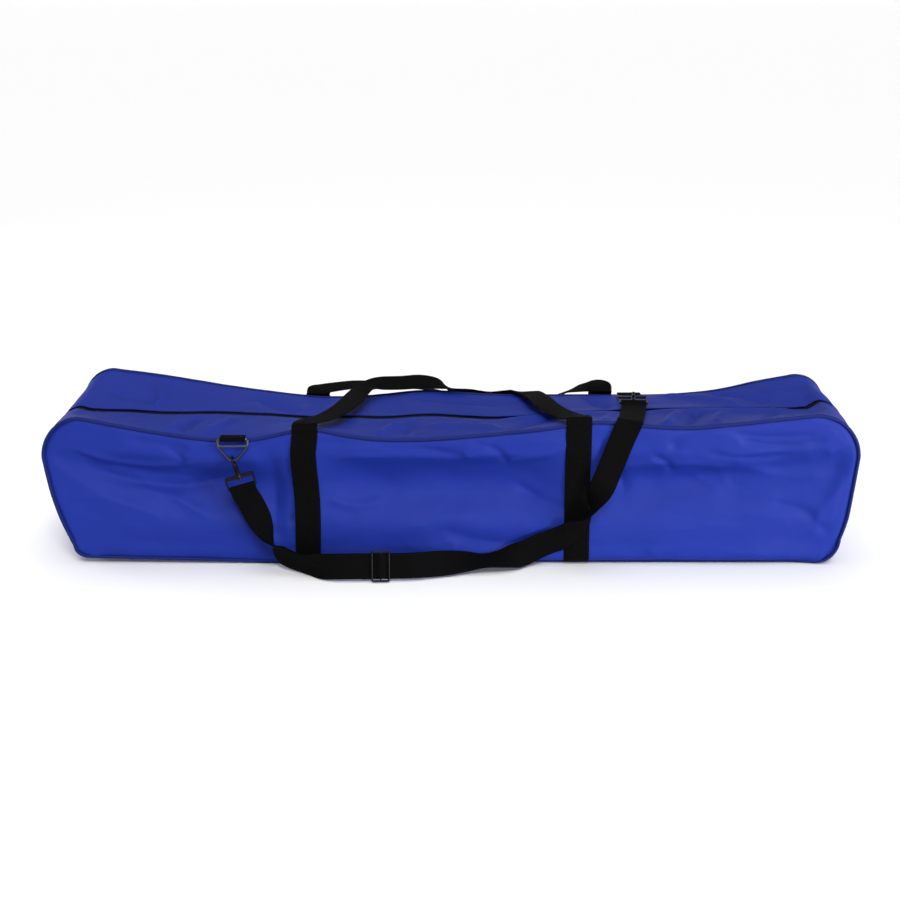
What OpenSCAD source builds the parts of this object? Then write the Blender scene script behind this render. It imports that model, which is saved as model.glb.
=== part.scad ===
// Long zipped carry bag for a lawn game set: sewn cloth body with piping, one zip along
// the top, two webbing carry handles and a clip-on shoulder strap with swivel hooks.
// +X runs along the bag, -Y is the front panel and z = 0 is the ground.

/* [Bag body] */
// Length over the rounded ends
bag_length = 1212; // [1180:2:1240]
// Depth between the front and back panels
bag_depth = 250; // [240:2:260]
// Thickness of the sewn cloth walls
cloth = 2; // [1.6:0.1:2.2]
// Diameter of the piping in the edge seams
piping_d = 6; // [5:0.5:6.5]
// Height where the straight ends meet the rounded top corners
corner_start = 168; // [160:1:175]

/* [Zip] */
// Height of the zip at its left end
zip_left_z = 204; // [202:0.5:205]
// Height of the zip at its right end
zip_right_z = 207; // [205:0.5:208]
// Distance from the middle of the bag to the parked slider
slider_park = 512; // [506:1:514]
// Half length of the zipped mouth
mouth_half = 490; // [486:1:490]

/* [Webbing] */
// Width of the handle and strap webbing
webbing_w = 38; // [34:1:38]
// Thickness of the webbing
webbing_t = 1.6; // [1.2:0.1:1.6]

/* [Strap hardware] */
// Radius of the wire in the strap rings
ring_wire = 1.8; // [1.5:0.1:1.9]
// Radius of the wire in the hook eye
eye_wire = 1.8; // [1.5:0.1:1.9]
// Travel of the thumb bolt that closes the hook eye
bolt_travel = 6; // [4:0.5:6.5]

/* [Hidden] */
$fn = 32;

cloth_blue = "royalblue";
webbing_black = "#1c1c1e";
metal_black = "#3a3a3e";
chrome_grey = "#a9abb0";

stretch = bag_length / 1212;
half_d = bag_depth / 2;
face_in = half_d - cloth;      // inner face of the front and back panels
seam_inset = 1.5;              // how far the cloth lies inside the piping
rim_y = half_d - 18;           // inner edge of the sewn rim round the mouth
flap_y = rim_y - 1.5;          // outer edge of a flap, clear of the rim
slot_y = 9;                    // cloth edge beside the zip chain
piping_r = piping_d / 2;
piping_y = half_d + 1.5 - piping_r;
seam_y = piping_y - piping_r + 0.9;   // the gusset's edge, sewn into the piping
seam_over = 2.7;               // handle root above the seam
layer_gap = 0.3;

// [x, height of the front seam, height of the back seam], left to right along the top
seam_stations = [[-545, 232, 244], [-520, 227, 241], [-490, 221, 237], [-430, 210, 228],
    [-360, 200, 216], [-290, 200, 206], [-213, 215, 197], [-150, 205, 195],
    [-100, 199.5, 196], [-30, 200, 201], [55, 207, 200], [140, 216, 200], [220, 226, 200],
    [290, 220, 200], [350, 217, 201], [430, 224, 208], [490, 231, 220], [540, 236, 231]];
left_edge = [[-567, 22], [-583, 65], [-596, 115], [-605, corner_start]];
right_edge = [[608, corner_start], [602, 112], [597, 65], [588, 22]];
corner_r = 22;                 // bottom corners
left_low = -545;
right_low = 566;

// ---------- curves ----------

function lerp(a, b, t) = a + (b - a) * t;
function unit(v) = v / norm(v);

function spline(a, b, c, d, t) = 0.5 * (2 * b + (c - a) * t + (2 * a - 5 * b + 4 * c - d) * t * t
    + (3 * b - a - 3 * c + d) * t * t * t);

// smooth curve through a list of rows, n steps from each row to the next
function smooth(rows, n) = let (last = len(rows) - 1) concat(
    [for (i = [0 : last - 1], k = [0 : n - 1])
        spline(rows[max(i - 1, 0)], rows[i], rows[i + 1], rows[min(i + 2, last)], k / n)],
    [rows[last]]);

// rounded corner: a quarter of a superellipse, power 2 is an ellipse
function corner(cx, cz, rx, rz, from, to, n, power = 2) = [for (k = [0 : n])
    let (a = lerp(from, to, k / n), c = cos(a), s = sin(a))
    [cx + rx * sign(c) * pow(abs(c), 2 / power), cz + rz * sign(s) * pow(abs(s), 2 / power)]];

function part_of(list, first, last) = [for (i = [first : last]) list[i]];
function inner(list) = part_of(list, 1, len(list) - 2);

low_n = 4;
side_n = 2;
arc_n = 7;
seam_n = 3;

// edge line of the bag in x and z, from the bottom left corner over the top to the bottom right
function edge_line(tops, power) = let (first = tops[0], last = tops[len(tops) - 1]) concat(
    corner(left_low, corner_r, corner_r, corner_r, 270, 180, low_n),
    inner(smooth(left_edge, side_n)),
    corner(first[0], corner_start, 605 + first[0], first[1] - corner_start, 180, 90, arc_n, power),
    inner(tops),
    corner(last[0], corner_start, 608 - last[0], last[1] - corner_start, 90, 0, arc_n, power),
    inner(smooth(right_edge, side_n)),
    corner(right_low, corner_r, corner_r, corner_r, 0, -90, low_n));

tops = smooth(seam_stations, seam_n);
function zip_z(x) = lerp(zip_left_z, zip_right_z, (x + slider_park) / (2 * slider_park));
function stretched(line) = [for (p = line) [p[0] * stretch, p[1]]];

front_line = stretched(edge_line([for (s = tops) [s[0], s[1]]], 2));
back_line = stretched(edge_line([for (s = tops) [s[0], s[2]]], 2));
mid_line = stretched(edge_line([for (s = tops) [s[0], zip_z(s[0]) + 2.4 + seam_inset]], 2.6));
count = len(front_line);
arc_start = low_n + 1 + len(left_edge) * side_n - side_n - 1;   // index of the first arc point
top_start = arc_start + arc_n;
top_end = top_start + len(tops) - 1;
arc_end = top_end + arc_n;

// outward normals of an open line, and the line moved inwards by d
function line_normals(line) = [for (i = [0 : len(line) - 1])
    let (t = unit(line[min(i + 1, len(line) - 1)] - line[max(i - 1, 0)])) [-t[1], t[0]]];
function inset(line, d) = let (n = line_normals(line)) [for (i = [0 : len(line) - 1]) line[i] - n[i] * d];
// the same, but reaching the ground where the cloth joins the base
function seated(line, d) = let (n = line_normals(line))
    [for (i = [0 : len(line) - 1]) line[i] - n[i] * d * min(1, line[i][1] / corner_r)];

front_cloth = seated(front_line, seam_inset);
back_cloth = seated(back_line, seam_inset);
mid_cloth = seated(mid_line, seam_inset);

function across(front, mid, back, y) = y < -slot_y ? lerp(front, mid, (y + half_d) / (half_d - slot_y))
    : y > slot_y ? lerp(back, mid, (half_d - y) / (half_d - slot_y)) : mid;
function gusset_line(y) = [for (i = [0 : count - 1])
    across(front_cloth[i], mid_cloth[i], back_cloth[i], y)];

// height of the cloth's outer face on top of the bag
function seam_at(x, side) = lookup(x, [for (s = tops) [s[0] * stretch, s[side]]]);
function cloth_z(x, y) = across(seam_at(x, 1) - seam_inset, zip_z(x) + 2.4,
    seam_at(x, 2) - seam_inset, y);

// ---------- solids from points ----------

// Closed sheet between an outer and an inner grid of points. Cell [i, j] is there where
// keep(i, j) is true, so a sheet can have a mouth or a slot in it.
module sheet(outer, inner, keep = function (i, j) true) {
    ni = len(outer);
    nj = len(outer[0]);
    flat = function (grid) [for (row = grid, p = row) p];
    at = function (i, j) i * nj + j;
    in = function (i, j) ni * nj + i * nj + j;
    cells = [for (i = [0 : ni - 2], j = [0 : nj - 2]) if (keep(i, j)) [i, j]];
    there = function (i, j) i >= 0 && j >= 0 && i < ni - 1 && j < nj - 1 && keep(i, j);
    quad = function (a, b, c, d) [[a, b, c], [a, c, d]];
    faces = [for (c = cells) let (i = c[0], j = c[1]) each concat(
        quad(at(i, j), at(i, j + 1), at(i + 1, j + 1), at(i + 1, j)),
        quad(in(i, j), in(i + 1, j), in(i + 1, j + 1), in(i, j + 1)),
        there(i, j - 1) ? [] : quad(at(i, j), at(i + 1, j), in(i + 1, j), in(i, j)),
        there(i, j + 1) ? [] : quad(at(i + 1, j + 1), at(i, j + 1), in(i, j + 1), in(i + 1, j + 1)),
        there(i - 1, j) ? [] : quad(at(i, j + 1), at(i, j), in(i, j), in(i, j + 1)),
        there(i + 1, j) ? [] : quad(at(i + 1, j), at(i + 1, j + 1), in(i + 1, j + 1), in(i + 1, j)))];
    polyhedron(concat(flat(outer), flat(inner)), faces);
}

// gusset cloth over rows first to last of the edge line, with columns at the given y
module gusset(first, last, ys, keep = function (i, j) true) {
    outers = [for (y = ys) gusset_line(y)];
    inners = [for (line = outers) seated(line, cloth)];
    grid = function (lines) [for (i = [first : last])
        [for (j = [0 : len(ys) - 1]) [lines[j][i][0], ys[j], lines[j][i][1]]]];
    sheet(grid(outers), grid(inners), keep);
}

// strip along the mouth between two y, its faces given as functions of x and y
module mouth_strip(from_x, to_x, ys, top, thick) {
    xs = concat([from_x], [for (s = tops) if (s[0] * stretch > from_x + 1 && s[0] * stretch < to_x - 1)
        s[0] * stretch], [to_x]);
    sheet([for (x = xs) [for (y = ys) [x, y, top(x, y)]]],
        [for (x = xs) [for (y = ys) [x, y, top(x, y) - thick]]]);
}

// section swept along rings of points, open with end faces or closed on itself
module sweep(rings, closed = false) {
    n = len(rings);
    m = len(rings[0]);
    steps = closed ? n - 1 : n - 2;
    sides = [for (i = [0 : steps], k = [0 : m - 1])
        let (a = i * m + k, b = i * m + (k + 1) % m, j = (i + 1) % n,
            c = j * m + (k + 1) % m, d = j * m + k)
        each k < m / 2 ? [[a, b, c], [a, c, d]] : [[a, b, d], [b, c, d]]];
    ends = closed ? [] : [for (k = [1 : m - 2]) each [[0, k + 1, k],
        [(n - 1) * m, (n - 1) * m + k, (n - 1) * m + k + 1]]];
    polyhedron([for (ring = rings, p = ring) p], concat(sides, ends));
}

// Flat webbing along a route. Each row is [x, y, z, nx, ny, nz]: a point on the middle of the
// webbing and the way its face looks. A second layer lies lift off it, starting at first_lift.
module webbing(route, n = 4, width = webbing_w, thick = webbing_t, first_lift = 0, lift = 0) {
    rows = smooth(route, n);
    last = len(rows) - 1;
    pt = function (i) [rows[i][0], rows[i][1], rows[i][2]];
    rings = [for (i = [0 : last])
        let (t = unit(pt(min(i + 1, last)) - pt(max(i - 1, 0))),
            w = unit(cross([rows[i][3], rows[i][4], rows[i][5]], t)) * width / 2,
            f = unit(cross(t, w)), h = f * thick / 2,
            c = pt(i) + f * lerp(first_lift, lift, min(1, i / 9)))
        [c + w + h, c - w + h, c - w - h, c + w - h]];
    sweep(rings);
}

// Round wire bent along a closed flat outline, every bend a true arc of radius bend. A bend is
// a hair thicker than the straights, so it takes in their ends.
module bent_wire(points, wire, bend) {
    n = len(points);
    lap = 0.25;
    for (i = [0 : n - 1]) {
        p = points[i];
        to_prev = unit(points[(i + n - 1) % n] - p);
        to_next = unit(points[(i + 1) % n] - p);
        next = points[(i + 1) % n];
        after = points[(i + 2) % n];
        half = acos(to_prev * to_next) / 2;
        next_half = acos(-to_next * unit(after - next)) / 2;
        cut = bend / tan(half);
        next_cut = bend / tan(next_half);
        start = p + to_next * (cut - lap);
        long = norm(next - p) - cut - next_cut + 2 * lap;
        translate([start[0], start[1], 0]) rotate([0, 0, atan2(to_next[1], to_next[0])])
            rotate([0, 90, 0]) cylinder(h = long, r = wire);
        centre = p + unit(to_prev + to_next) * bend / sin(half);
        middle = atan2(p[1] - centre[1], p[0] - centre[0]);
        translate([centre[0], centre[1], 0]) rotate([0, 0, middle - (90 - half)])
            rotate_extrude(angle = 180 - 2 * half) translate([bend, 0]) circle(wire + 0.03);
    }
}

// ---------- cloth body ----------

// a panel's edge is sewn a little way into the piping
module panel(line, y) {
    color(cloth_blue) translate([0, y, 0]) rotate([90, 0, 0]) linear_extrude(cloth)
        polygon(inset(line, piping_d - 0.8));
}
module front_panel() panel(front_line, -face_in);
module back_panel() panel(back_line, half_d);

module base_panel() {
    color(cloth_blue) translate([left_low * stretch, -seam_y, 0])
        cube([(right_low - left_low) * stretch, 2 * seam_y, cloth]);
}

end_columns = [-seam_y, -60, 0, 60, seam_y];
module left_end() color(cloth_blue) gusset(0, arc_start, end_columns);
module right_end() color(cloth_blue) gusset(arc_end, count - 1, end_columns);

// cloth over the top ends and the sewn rim round the mouth, with a slot for each zip end
module top_gusset() {
    ys = [-seam_y, -rim_y, -slot_y, slot_y, rim_y, seam_y];
    rim_first = top_start + 2 * seam_n - arc_start;
    rim_last = top_end - seam_n - arc_start;
    slot_first = arc_n - 4;
    slot_last = arc_end - arc_start - slot_first;
    color(cloth_blue) gusset(arc_start, arc_end, ys, function (i, j)
        i >= rim_first && i < rim_last ? j == 0 || j == 4
        : i >= slot_first && i < slot_last ? j != 2 : true);
}

module piping(line, y) {
    base = inset(line, piping_r);
    floor_n = 6;
    under = [for (k = [1 : floor_n - 1])
        lerp(base[len(base) - 1], base[0], k / floor_n)];
    loop = concat(part_of(base, 0, len(base) - 1), under);
    n = len(loop);
    rings = [for (i = [0 : n - 1])
        let (t = unit(loop[(i + 1) % n] - loop[(i + n - 1) % n]), out = [-t[1], t[0]])
        [for (k = [0 : 7]) let (a = -45 * k, r = piping_r * 1.03)
            [loop[i][0] + out[0] * r * cos(a), y + r * sin(a), loop[i][1] + out[1] * r * cos(a)]]];
    color(cloth_blue) sweep(rings, closed = true);
}
module front_piping() piping(front_line, -piping_y);
module back_piping() piping(back_line, piping_y);

// ---------- zip ----------

chain_in = 0.9;
chain_out = 3.3;
chain_h = 1.0;
tape_y = 17;
tape_t = 0.8;
flap_end = mouth_half - 0.8;

module flap(side) {
    ys = side < 0 ? [-flap_y, -60, -slot_y] : [slot_y, 60, flap_y];
    color(cloth_blue) mouth_strip(-flap_end, flap_end, ys, function (x, y) cloth_z(x, y), cloth);
}
module front_flap() flap(-1);
module back_flap() flap(1);

function tape_z(x, y) = abs(y) > slot_y ? cloth_z(x, y) - cloth : zip_z(x) + tape_t / 2;
module zip_tape(side, from_x, to_x) {
    ys = side < 0 ? [-tape_y, -slot_y, -chain_out] : [chain_out, slot_y, tape_y];
    color(webbing_black) mouth_strip(from_x, to_x, ys, function (x, y) tape_z(x, y), tape_t);
}
module front_zip_tape() zip_tape(-1, -flap_end, flap_end);
module back_zip_tape() zip_tape(1, -flap_end, flap_end);

// straight length of the zip line with a section drawn in y and z
zip_lean = atan((zip_right_z - zip_left_z) / (2 * slider_park));
module along_zip(from_x, to_x) {
    translate([0, 0, zip_z(0)]) rotate([0, -zip_lean, 0]) translate([from_x, 0, 0])
        rotate([90, 0, 90]) linear_extrude(to_x - from_x) children();
}

// half of the coil: a bar with bevelled sides
module coil_section(side) {
    mirror([side < 0 ? 1 : 0, 0]) polygon([[chain_in, -0.6], [1.4, -chain_h], [2.9, -chain_h],
        [chain_out, -0.5], [chain_out, 0.5], [2.9, chain_h], [1.4, chain_h], [chain_in, 0.6]]);
}
module zip_chain(side, from_x, to_x) {
    color(webbing_black) along_zip(from_x, to_x) coil_section(side);
}
module front_zip_chain() zip_chain(-1, -flap_end, flap_end);
module back_zip_chain() zip_chain(1, -flap_end, flap_end);

// fixed end of the zip in its slot: tape and coil halves, the end stop and the tape's tail
top_x = 539 * stretch;
stop_x = (slider_park + 13) * stretch;
module zip_end(side) {
    near = mouth_half + 0.8;
    from_x = side > 0 ? near : -stop_x;
    color(webbing_black) {
        along_zip(from_x, from_x + stop_x - near) for (s = [-1, 1]) {
            coil_section(s);
            translate([s > 0 ? 2 : -12, -0.4]) square([10, 0.9]);
        }
        along_zip(side > 0 ? stop_x - 0.3 : -top_x, side > 0 ? top_x : 0.3 - stop_x)
            translate([-12, -0.4]) square([24, 0.9]);
        along_zip(side > 0 ? stop_x - 0.5 : -stop_x - 2, side > 0 ? stop_x + 2 : 0.5 - stop_x)
            translate([-3.6, -1.5]) square([7.2, 3]);
    }
}
module left_zip_end() zip_end(-1);
module right_zip_end() zip_end(1);

plate_t = 1.4;
plate_z = 1.2;
bridge_z = 3.3;                 // axis of the pull above the zip

module slider_plan() hull() {
    translate([-8.2, 0]) scale([1, 1.6]) circle(2.6);
    translate([6.6, -2.6]) circle(3.4);
    translate([6.6, 2.6]) circle(3.4);
}

// two plates joined by the wedge that parts the coils, with a bridge for the pull on top
module zip_slider() {
    color(metal_black) translate([slider_park * stretch, 0, zip_z(slider_park)]) {
        for (z = [plate_z, -plate_z - plate_t]) translate([0, 0, z]) linear_extrude(plate_t) slider_plan();
        translate([5, -0.6, -plate_z - 0.2]) cube([4.4, 1.2, 2 * plate_z + 0.4]);
        for (x = [-4.4, 3]) translate([x, -1.2, plate_z + plate_t - 0.2]) cube([1.4, 2.4, 2]);
        translate([-4.4, -1.2, bridge_z + 0.75]) cube([8.8, 2.4, 0.8]);
    }
}

// frame round the bridge and a long grip, lying along the closed zip
module zip_pull() {
    color(metal_black) translate([slider_park * stretch, 0, zip_z(slider_park) + bridge_z]) {
        translate([0, 4.4, 0]) rotate([90, 0, 0]) cylinder(h = 8.8, r = 0.55);
        translate([0, 0, -0.55]) linear_extrude(1.1) {
            for (s = [-1, 1]) translate([-9, s * 3.9 - 0.6]) square([9, 1.2]);
            difference() {
                hull() {
                    translate([-10.5, -4.5]) square([2, 9]);
                    translate([-30, 0]) circle(4.2);
                }
                hull() {
                    translate([-15, 0]) circle(1.6);
                    translate([-25, 0]) circle(1.6);
                }
            }
        }
    }
}

// ---------- webbing and handles ----------

left_x = -214;                  // middle of the left handle webbing
right_x = 190;                  // middle of the front panel's right webbing
back_right_x = 243;             // middle of the back panel's right webbing

// webbing sewn up a panel, over the piping at its foot and top, to the root of a handle
module panel_webbing(x, side) {
    xs = x * stretch;
    seam = function (x) seam_at(x, side < 0 ? 1 : 2);
    slope = (seam(xs + 12) - seam(xs - 12)) / 24;
    face = half_d + webbing_t / 2 + 0.05;
    centre_z = seam(xs) - piping_r;
    reach = piping_r + webbing_t / 2 + 0.25;
    up = concat([for (p = [[1.6, 0.6], [1.6, 4], [0.9, 8], [0.05, 13], [0, 24], [0, 60], [0, 120]])
        [face + p[0], p[1]]], [for (p = [[0, -24], [0, -14], [0.6, -7]]) [face + p[0], centre_z + p[1]]]);
    wrap = [for (a = [0 : 22.5 : 90]) [xs, side * (piping_y + reach * cos(a)), centre_z + reach * sin(a),
        -slope * sin(a), side * cos(a), sin(a)]];
    color(webbing_black) webbing(concat([for (p = up) [xs, side * p[0], p[1], 0, side, 0]], wrap), n = 2);
}
module front_left_webbing() panel_webbing(left_x, -1);
module front_right_webbing() panel_webbing(right_x, -1);
module back_left_webbing() panel_webbing(left_x, 1);
module back_right_webbing() panel_webbing(back_right_x, 1);

// the front handle lies back over the top and hangs a little behind the back edge
front_handle_route = [[-214, -123.3, 218.3, -0.02, 0, 1], [-214, -118, 219.2, -0.02, 0, 1],
    [-211, -107, 219, 0, 0, 1], [-202, -92, 217.6, 0, 0, 1], [-189, -74, 216, 0, 0, 1], [-174, -40, 215, 0, 0, 1],
    [-163, -8, 214.8, 0, 0, 1], [-154, 32, 214.4, 0, 0, 1], [-147, 70, 214.6, -0.05, 0, 1],
    [-137, 98, 217, -0.15, -0.2, 1], [-116, 117, 219, -0.05, -0.35, 0.93],
    [-80, 124, 218.5, 0, -0.37, 0.93], [-47, 126, 220, 0, -0.37, 0.93], [-18, 128, 216, 0, -0.2, 1],
    [2, 131, 206, 0, 0.3, 0.95], [28, 136.5, 191, 0, 0.9, 0.43], [62, 137, 183, 0, 1, 0.2],
    [90, 136, 188, 0, 0.9, 0.4], [113, 130, 199, 0, 0.6, 0.8], [126, 111, 206.5, 0, 0.05, 1],
    [134, 83, 210, 0, 0, 1], [141, 48, 213.2, 0, 0, 1], [149, 8, 214.6, 0, 0, 1], [161, -27, 215, 0, 0, 1],
    [174, -58, 216.6, -0.03, 0, 1], [184, -88, 221, -0.05, 0, 1],
    [189, -108, 227, -0.05, 0, 1], [190, -118, 229.1, -0.02, 0, 1], [190, -123.3, 229.4, -0.02, 0, 1]];
// the back handle lies along the back edge and bows out behind it
back_handle_route = [[-213, 123.3, 200.6, 0, 0, 1], [-213, 130, 204.4, 0, -0.55, 0.8],
    [-208, 138, 204.6, 0, -0.2, 1], [-190, 143, 206.4, 0, -0.15, 1], [-150, 146, 210, 0, -0.1, 1],
    [-100, 148, 208, 0, 0, 1], [-50, 156, 202, 0, 0.1, 1], [0, 169, 188.5, 0, 0.1, 1],
    [40, 177, 177, 0, 0.1, 1], [80, 188, 168, 0, 0.1, 1], [130, 188, 168, 0, 0.1, 1],
    [172, 170, 183, 0, 0.1, 1], [198, 152, 199, 0, 0, 1], [220, 146, 205.6, 0, -0.15, 1],
    [236, 142, 209.4, 0, -0.3, 0.9], [243, 134.5, 210.6, 0, -0.4, 0.9], [243, 127.8, 208, 0, -0.6, 0.8],
    [243, 123.3, 204.4, 0, -0.6, 0.8]];
function stretched_route(route) = [for (r = route) [r[0] * stretch, r[1], r[2], r[3], r[4], r[5]]];
module front_handle() color(webbing_black) webbing(stretched_route(front_handle_route), n = 3);
module back_handle() color(webbing_black) webbing(stretched_route(back_handle_route), n = 3);

// ---------- rings ----------

ring_half = 22;
ring_long = 31;
ring_bar = 10;
left_bar = [-320, -130, 198.6];
right_bar = [289, 86, 206];
left_ring_tilt = -6.5;
right_ring_tilt = -103.8;
function ring_tip(bar, tilt) = bar + [0, ring_long * sin(tilt), -ring_long * cos(tilt)];
left_tip = ring_tip(left_bar, left_ring_tilt);
right_tip = ring_tip(right_bar, right_ring_tilt);

// triangular ring with a cross bar, its top bar on the x axis and its tip towards -z
module strap_ring() {
    color(chrome_grey) {
        rotate([90, 0, 0]) bent_wire([[-ring_half, 0], [ring_half, 0], [ring_half, -ring_bar],
            [4, -ring_long], [-4, -ring_long], [-ring_half, -ring_bar]], ring_wire, 2.8);
        translate([-ring_half, 0, -ring_bar]) rotate([0, 90, 0]) cylinder(h = 2 * ring_half, r = ring_wire * 0.8);
    }
}
module left_ring() translate(left_bar) rotate([left_ring_tilt, 0, 0]) strap_ring();
module right_ring() translate(right_bar) rotate([right_ring_tilt, 0, 0]) strap_ring();

tab_bore = ring_wire + 0.3;
tab_r = tab_bore + 1.5;
// webbing tab folded round a ring's bar; tail is its outline in y and z from the bar's centre
module ring_tab(bar, tail) {
    color(webbing_black) translate(bar - [webbing_w / 2, 0, 0]) rotate([90, 0, 90])
        linear_extrude(webbing_w) difference() {
            union() {
                circle(tab_r);
                polygon(tail);
            }
            circle(tab_bore);
        }
}
module left_ring_tab() ring_tab(left_bar, [[0, tab_r], [0, 1.7], [9, 1.5], [9, tab_r]]);
module right_ring_tab() ring_tab(right_bar, [[0, -tab_r], [38, -5.8], [38, -3.8], [0, -1.6]]);

// ---------- hooks and strap loops ----------
// All are drawn with the ring's wire at the origin and the strap towards -z.

eye_r = 5.5;
eye_z = -0.9;
bolt_y = -5.5;
bolt_r = 1.2;
post_r = 1.8;
loop_in = 19.6;
fold_z = -42.3;                 // middle of the fold round the loop's bar
fold_r = 2.1;
fold_leg = 3.6;
strap_t = 1.4;

module at_left_hook() translate(left_tip) rotate([0, -17, 0]) children();
module at_right_hook() translate(right_tip) rotate([-92.3, 0, -5.2]) children();

// open eye, barrel with the bolt's bore and thumb slot, and the riveted swivel post
module snap_hook() {
    color(metal_black) {
        translate([0, 0, eye_z]) rotate([90, 0, 90]) rotate([0, 0, -60]) {
            rotate_extrude(angle = 225) translate([eye_r, 0]) circle(eye_wire);
            rotate([0, 0, 225]) translate([eye_r, 0]) sphere(eye_wire - 0.02);
        }
        difference() {
            union() {
                translate([0, 0, -22]) cylinder(h = 15.5, r = 3.4);
                translate([-2.2, -7.3, -20.4]) cube([4.4, 7.3, 12.4]);
                translate([-1.6, 0.4, -8]) cube([3.2, 3.4, 3]);
            }
            translate([0, bolt_y, -19.8]) cylinder(h = 22, r = bolt_r + 0.1);
            translate([-1, -9, -18.7]) cube([2, 9 + bolt_y, 8.8]);
        }
        translate([0, 0, -29.8]) cylinder(h = 8, r = post_r);
        translate([0, 0, -31.4]) cylinder(h = 1.8, r = 2.8);
    }
}
module left_hook() at_left_hook() snap_hook();
module right_hook() at_right_hook() snap_hook();

// sprung bolt that closes the eye, with its thumb stud
module thumb_bolt() {
    color(metal_black) {
        translate([0, bolt_y, -13]) cylinder(h = 11.3, r = bolt_r);
        translate([0, bolt_y, -11]) rotate([90, 0, 0]) cylinder(h = 3.7, r = 0.8);
        translate([0, bolt_y - 3.6, -11]) rotate([90, 0, 0]) cylinder(h = 1.4, r = 1.8);
    }
}
module left_bolt() at_left_hook() thumb_bolt();
module right_bolt() at_right_hook() thumb_bolt();

module rounded(x0, x1, z0, z1, r) {
    translate([x0 + r, z0]) square([x1 - x0 - 2 * r, z1 - z0]);
    translate([x0, z0 + r]) square([x1 - x0, z1 - z0 - 2 * r]);
    for (x = [x0 + r, x1 - r], z = [z0 + r, z1 - r]) translate([x, z]) circle(r);
}

// square loop that carries the strap, with a bored boss for the swivel post
module strap_loop() {
    color(metal_black) difference() {
        union() {
            translate([0, 1.8, 0]) rotate([90, 0, 0]) linear_extrude(3.6) difference() {
                rounded(-loop_in - 2.4, loop_in + 2.4, -45.5, -24, 2.5);
                rounded(-loop_in, loop_in, -41.5, -29, 1);
            }
            translate([0, 0, -29]) cylinder(h = 6, r = 3.6);
        }
        translate([0, 0, -35]) cylinder(h = 15, r = post_r + 0.06);
    }
}
module left_strap_loop() at_left_hook() strap_loop();
module right_strap_loop() at_right_hook() strap_loop();

// webbing folded over the loop's bar, with its two legs
module strap_fold() {
    out = fold_r + strap_t;
    color(webbing_black) translate([-webbing_w / 2, 0, fold_z]) rotate([90, 0, 90])
        linear_extrude(webbing_w) difference() {
            union() {
                circle(out);
                translate([-out, -fold_leg]) square([2 * out, fold_leg]);
            }
            circle(fold_r);
            translate([-fold_r, -fold_leg - 1]) square([2 * fold_r, fold_leg + 1]);
        }
}
module left_strap_fold() at_left_hook() strap_fold();
module right_strap_fold() at_right_hook() strap_fold();

// ---------- shoulder strap ----------

// from the left hook down to the ground in front, along it, and up over the front seam
strap_route = [[-306.5, -130.7, 123.6, 0, -1, 0], [-304, -130.9, 115.4, 0, -1, 0],
    [-297, -133, 104, 0.1, -1, 0],
    [-287, -138, 85, 0.35, -0.95, 0.1], [-277, -144.5, 64, 0.75, -0.6, 0.35],
    [-268, -149.5, 46, 0.85, 0, 0.5], [-249, -157, 27, 0.3, 0.85, 0.4], [-217, -172, 18.5, 0, 0.9, 0.35],
    [-188, -185, 20.2, 0, 0.95, -0.2], [-160, -191, 22.5, 0, 0.95, -0.3],
    [-105, -189.3, 22.5, 0, 0.95, -0.3], [-78, -188.4, 22.5, 0, 0.95, -0.3], [-52, -186.5, 22.5, 0, 0.95, -0.3],
    [-15, -172, 20, 0, 0.9, -0.45], [22, -155, 17, 0, 0.6, -0.85], [52, -150, 16, 0, 0.25, -1],
    [82, -145, 18, 0, 0.5, -0.9], [110, -135, 22, 0, 0.95, -0.2], [140, -131.5, 35.5, 0, 1, 0],
    [170, -133, 48.5, -0.1, 1, 0], [195, -140, 70, -0.5, 0.85, 0.2], [212, -148, 94, -0.95, 0, 0.3],
    [221, -142, 116, -0.6, -0.8, 0.2], [231, -134, 140, 0, -1, 0.1], [241, -131, 165, 0, -1, 0],
    [250, -129.5, 190, 0, -1, 0], [257, -129, 208, 0, -1, 0.05], [261, -129, 217.5, 0.02, -1, 0.2],
    [263.5, -127.4, 223.4, 0.05, -0.7, 0.7], [265.5, -122.5, 226, 0.08, -0.1, 1], [270, -95, 222.6, 0.06, 0.1, 1],
    [277, -50, 218, 0, 0.1, 1], [282, -15, 215.5, 0, 0.05, 1], [284, 0, 215, 0, 0, 1],
    [284.8, 10.2, 217.6, 0, -0.04, 1]];

module shoulder_strap() color(webbing_black) webbing(strap_route, n = 4, thick = strap_t);
// second layer, from the fold on the left loop to the adjuster
module strap_return() color(webbing_black) webbing(part_of(strap_route, 0, 10), n = 4, thick = strap_t,
    first_lift = 2 * fold_r + strap_t, lift = strap_t + layer_gap);
// turned-back end under the strap at the right loop
strap_hem_route = [[284.8, 10.2, 212, 0, 0.09, 1], [283.9, 0, 212.9, 0, 0.06, 1],
    [282, -15, 213.9, 0, 0.06, 1], [279.3, -34, 215, 0, 0.08, 1]];
module strap_hem() color(webbing_black) webbing(strap_hem_route, n = 3, thick = strap_t);

adjuster_long = 28;
adjuster_wide = 46;
adjuster_wire = 1.4;
// slide adjuster: a wire frame with a middle bar, lying on the front of the strap
module strap_adjuster() {
    hw = adjuster_wide / 2 - adjuster_wire;
    hl = adjuster_long / 2 - adjuster_wire;
    color(metal_black) translate([-102, -189.3, 22.5]) rotate([0, 0, 1.8]) rotate([72.5, 0, 0])
        translate([0, 0, strap_t / 2 + adjuster_wire + 0.5]) {
            bent_wire([[-hl, -hw], [hl, -hw], [hl, hw], [-hl, hw]], adjuster_wire, 3);
            translate([0, hw, 0]) rotate([90, 0, 0]) cylinder(h = 2 * hw, r = adjuster_wire * 0.8);
        }
}

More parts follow.
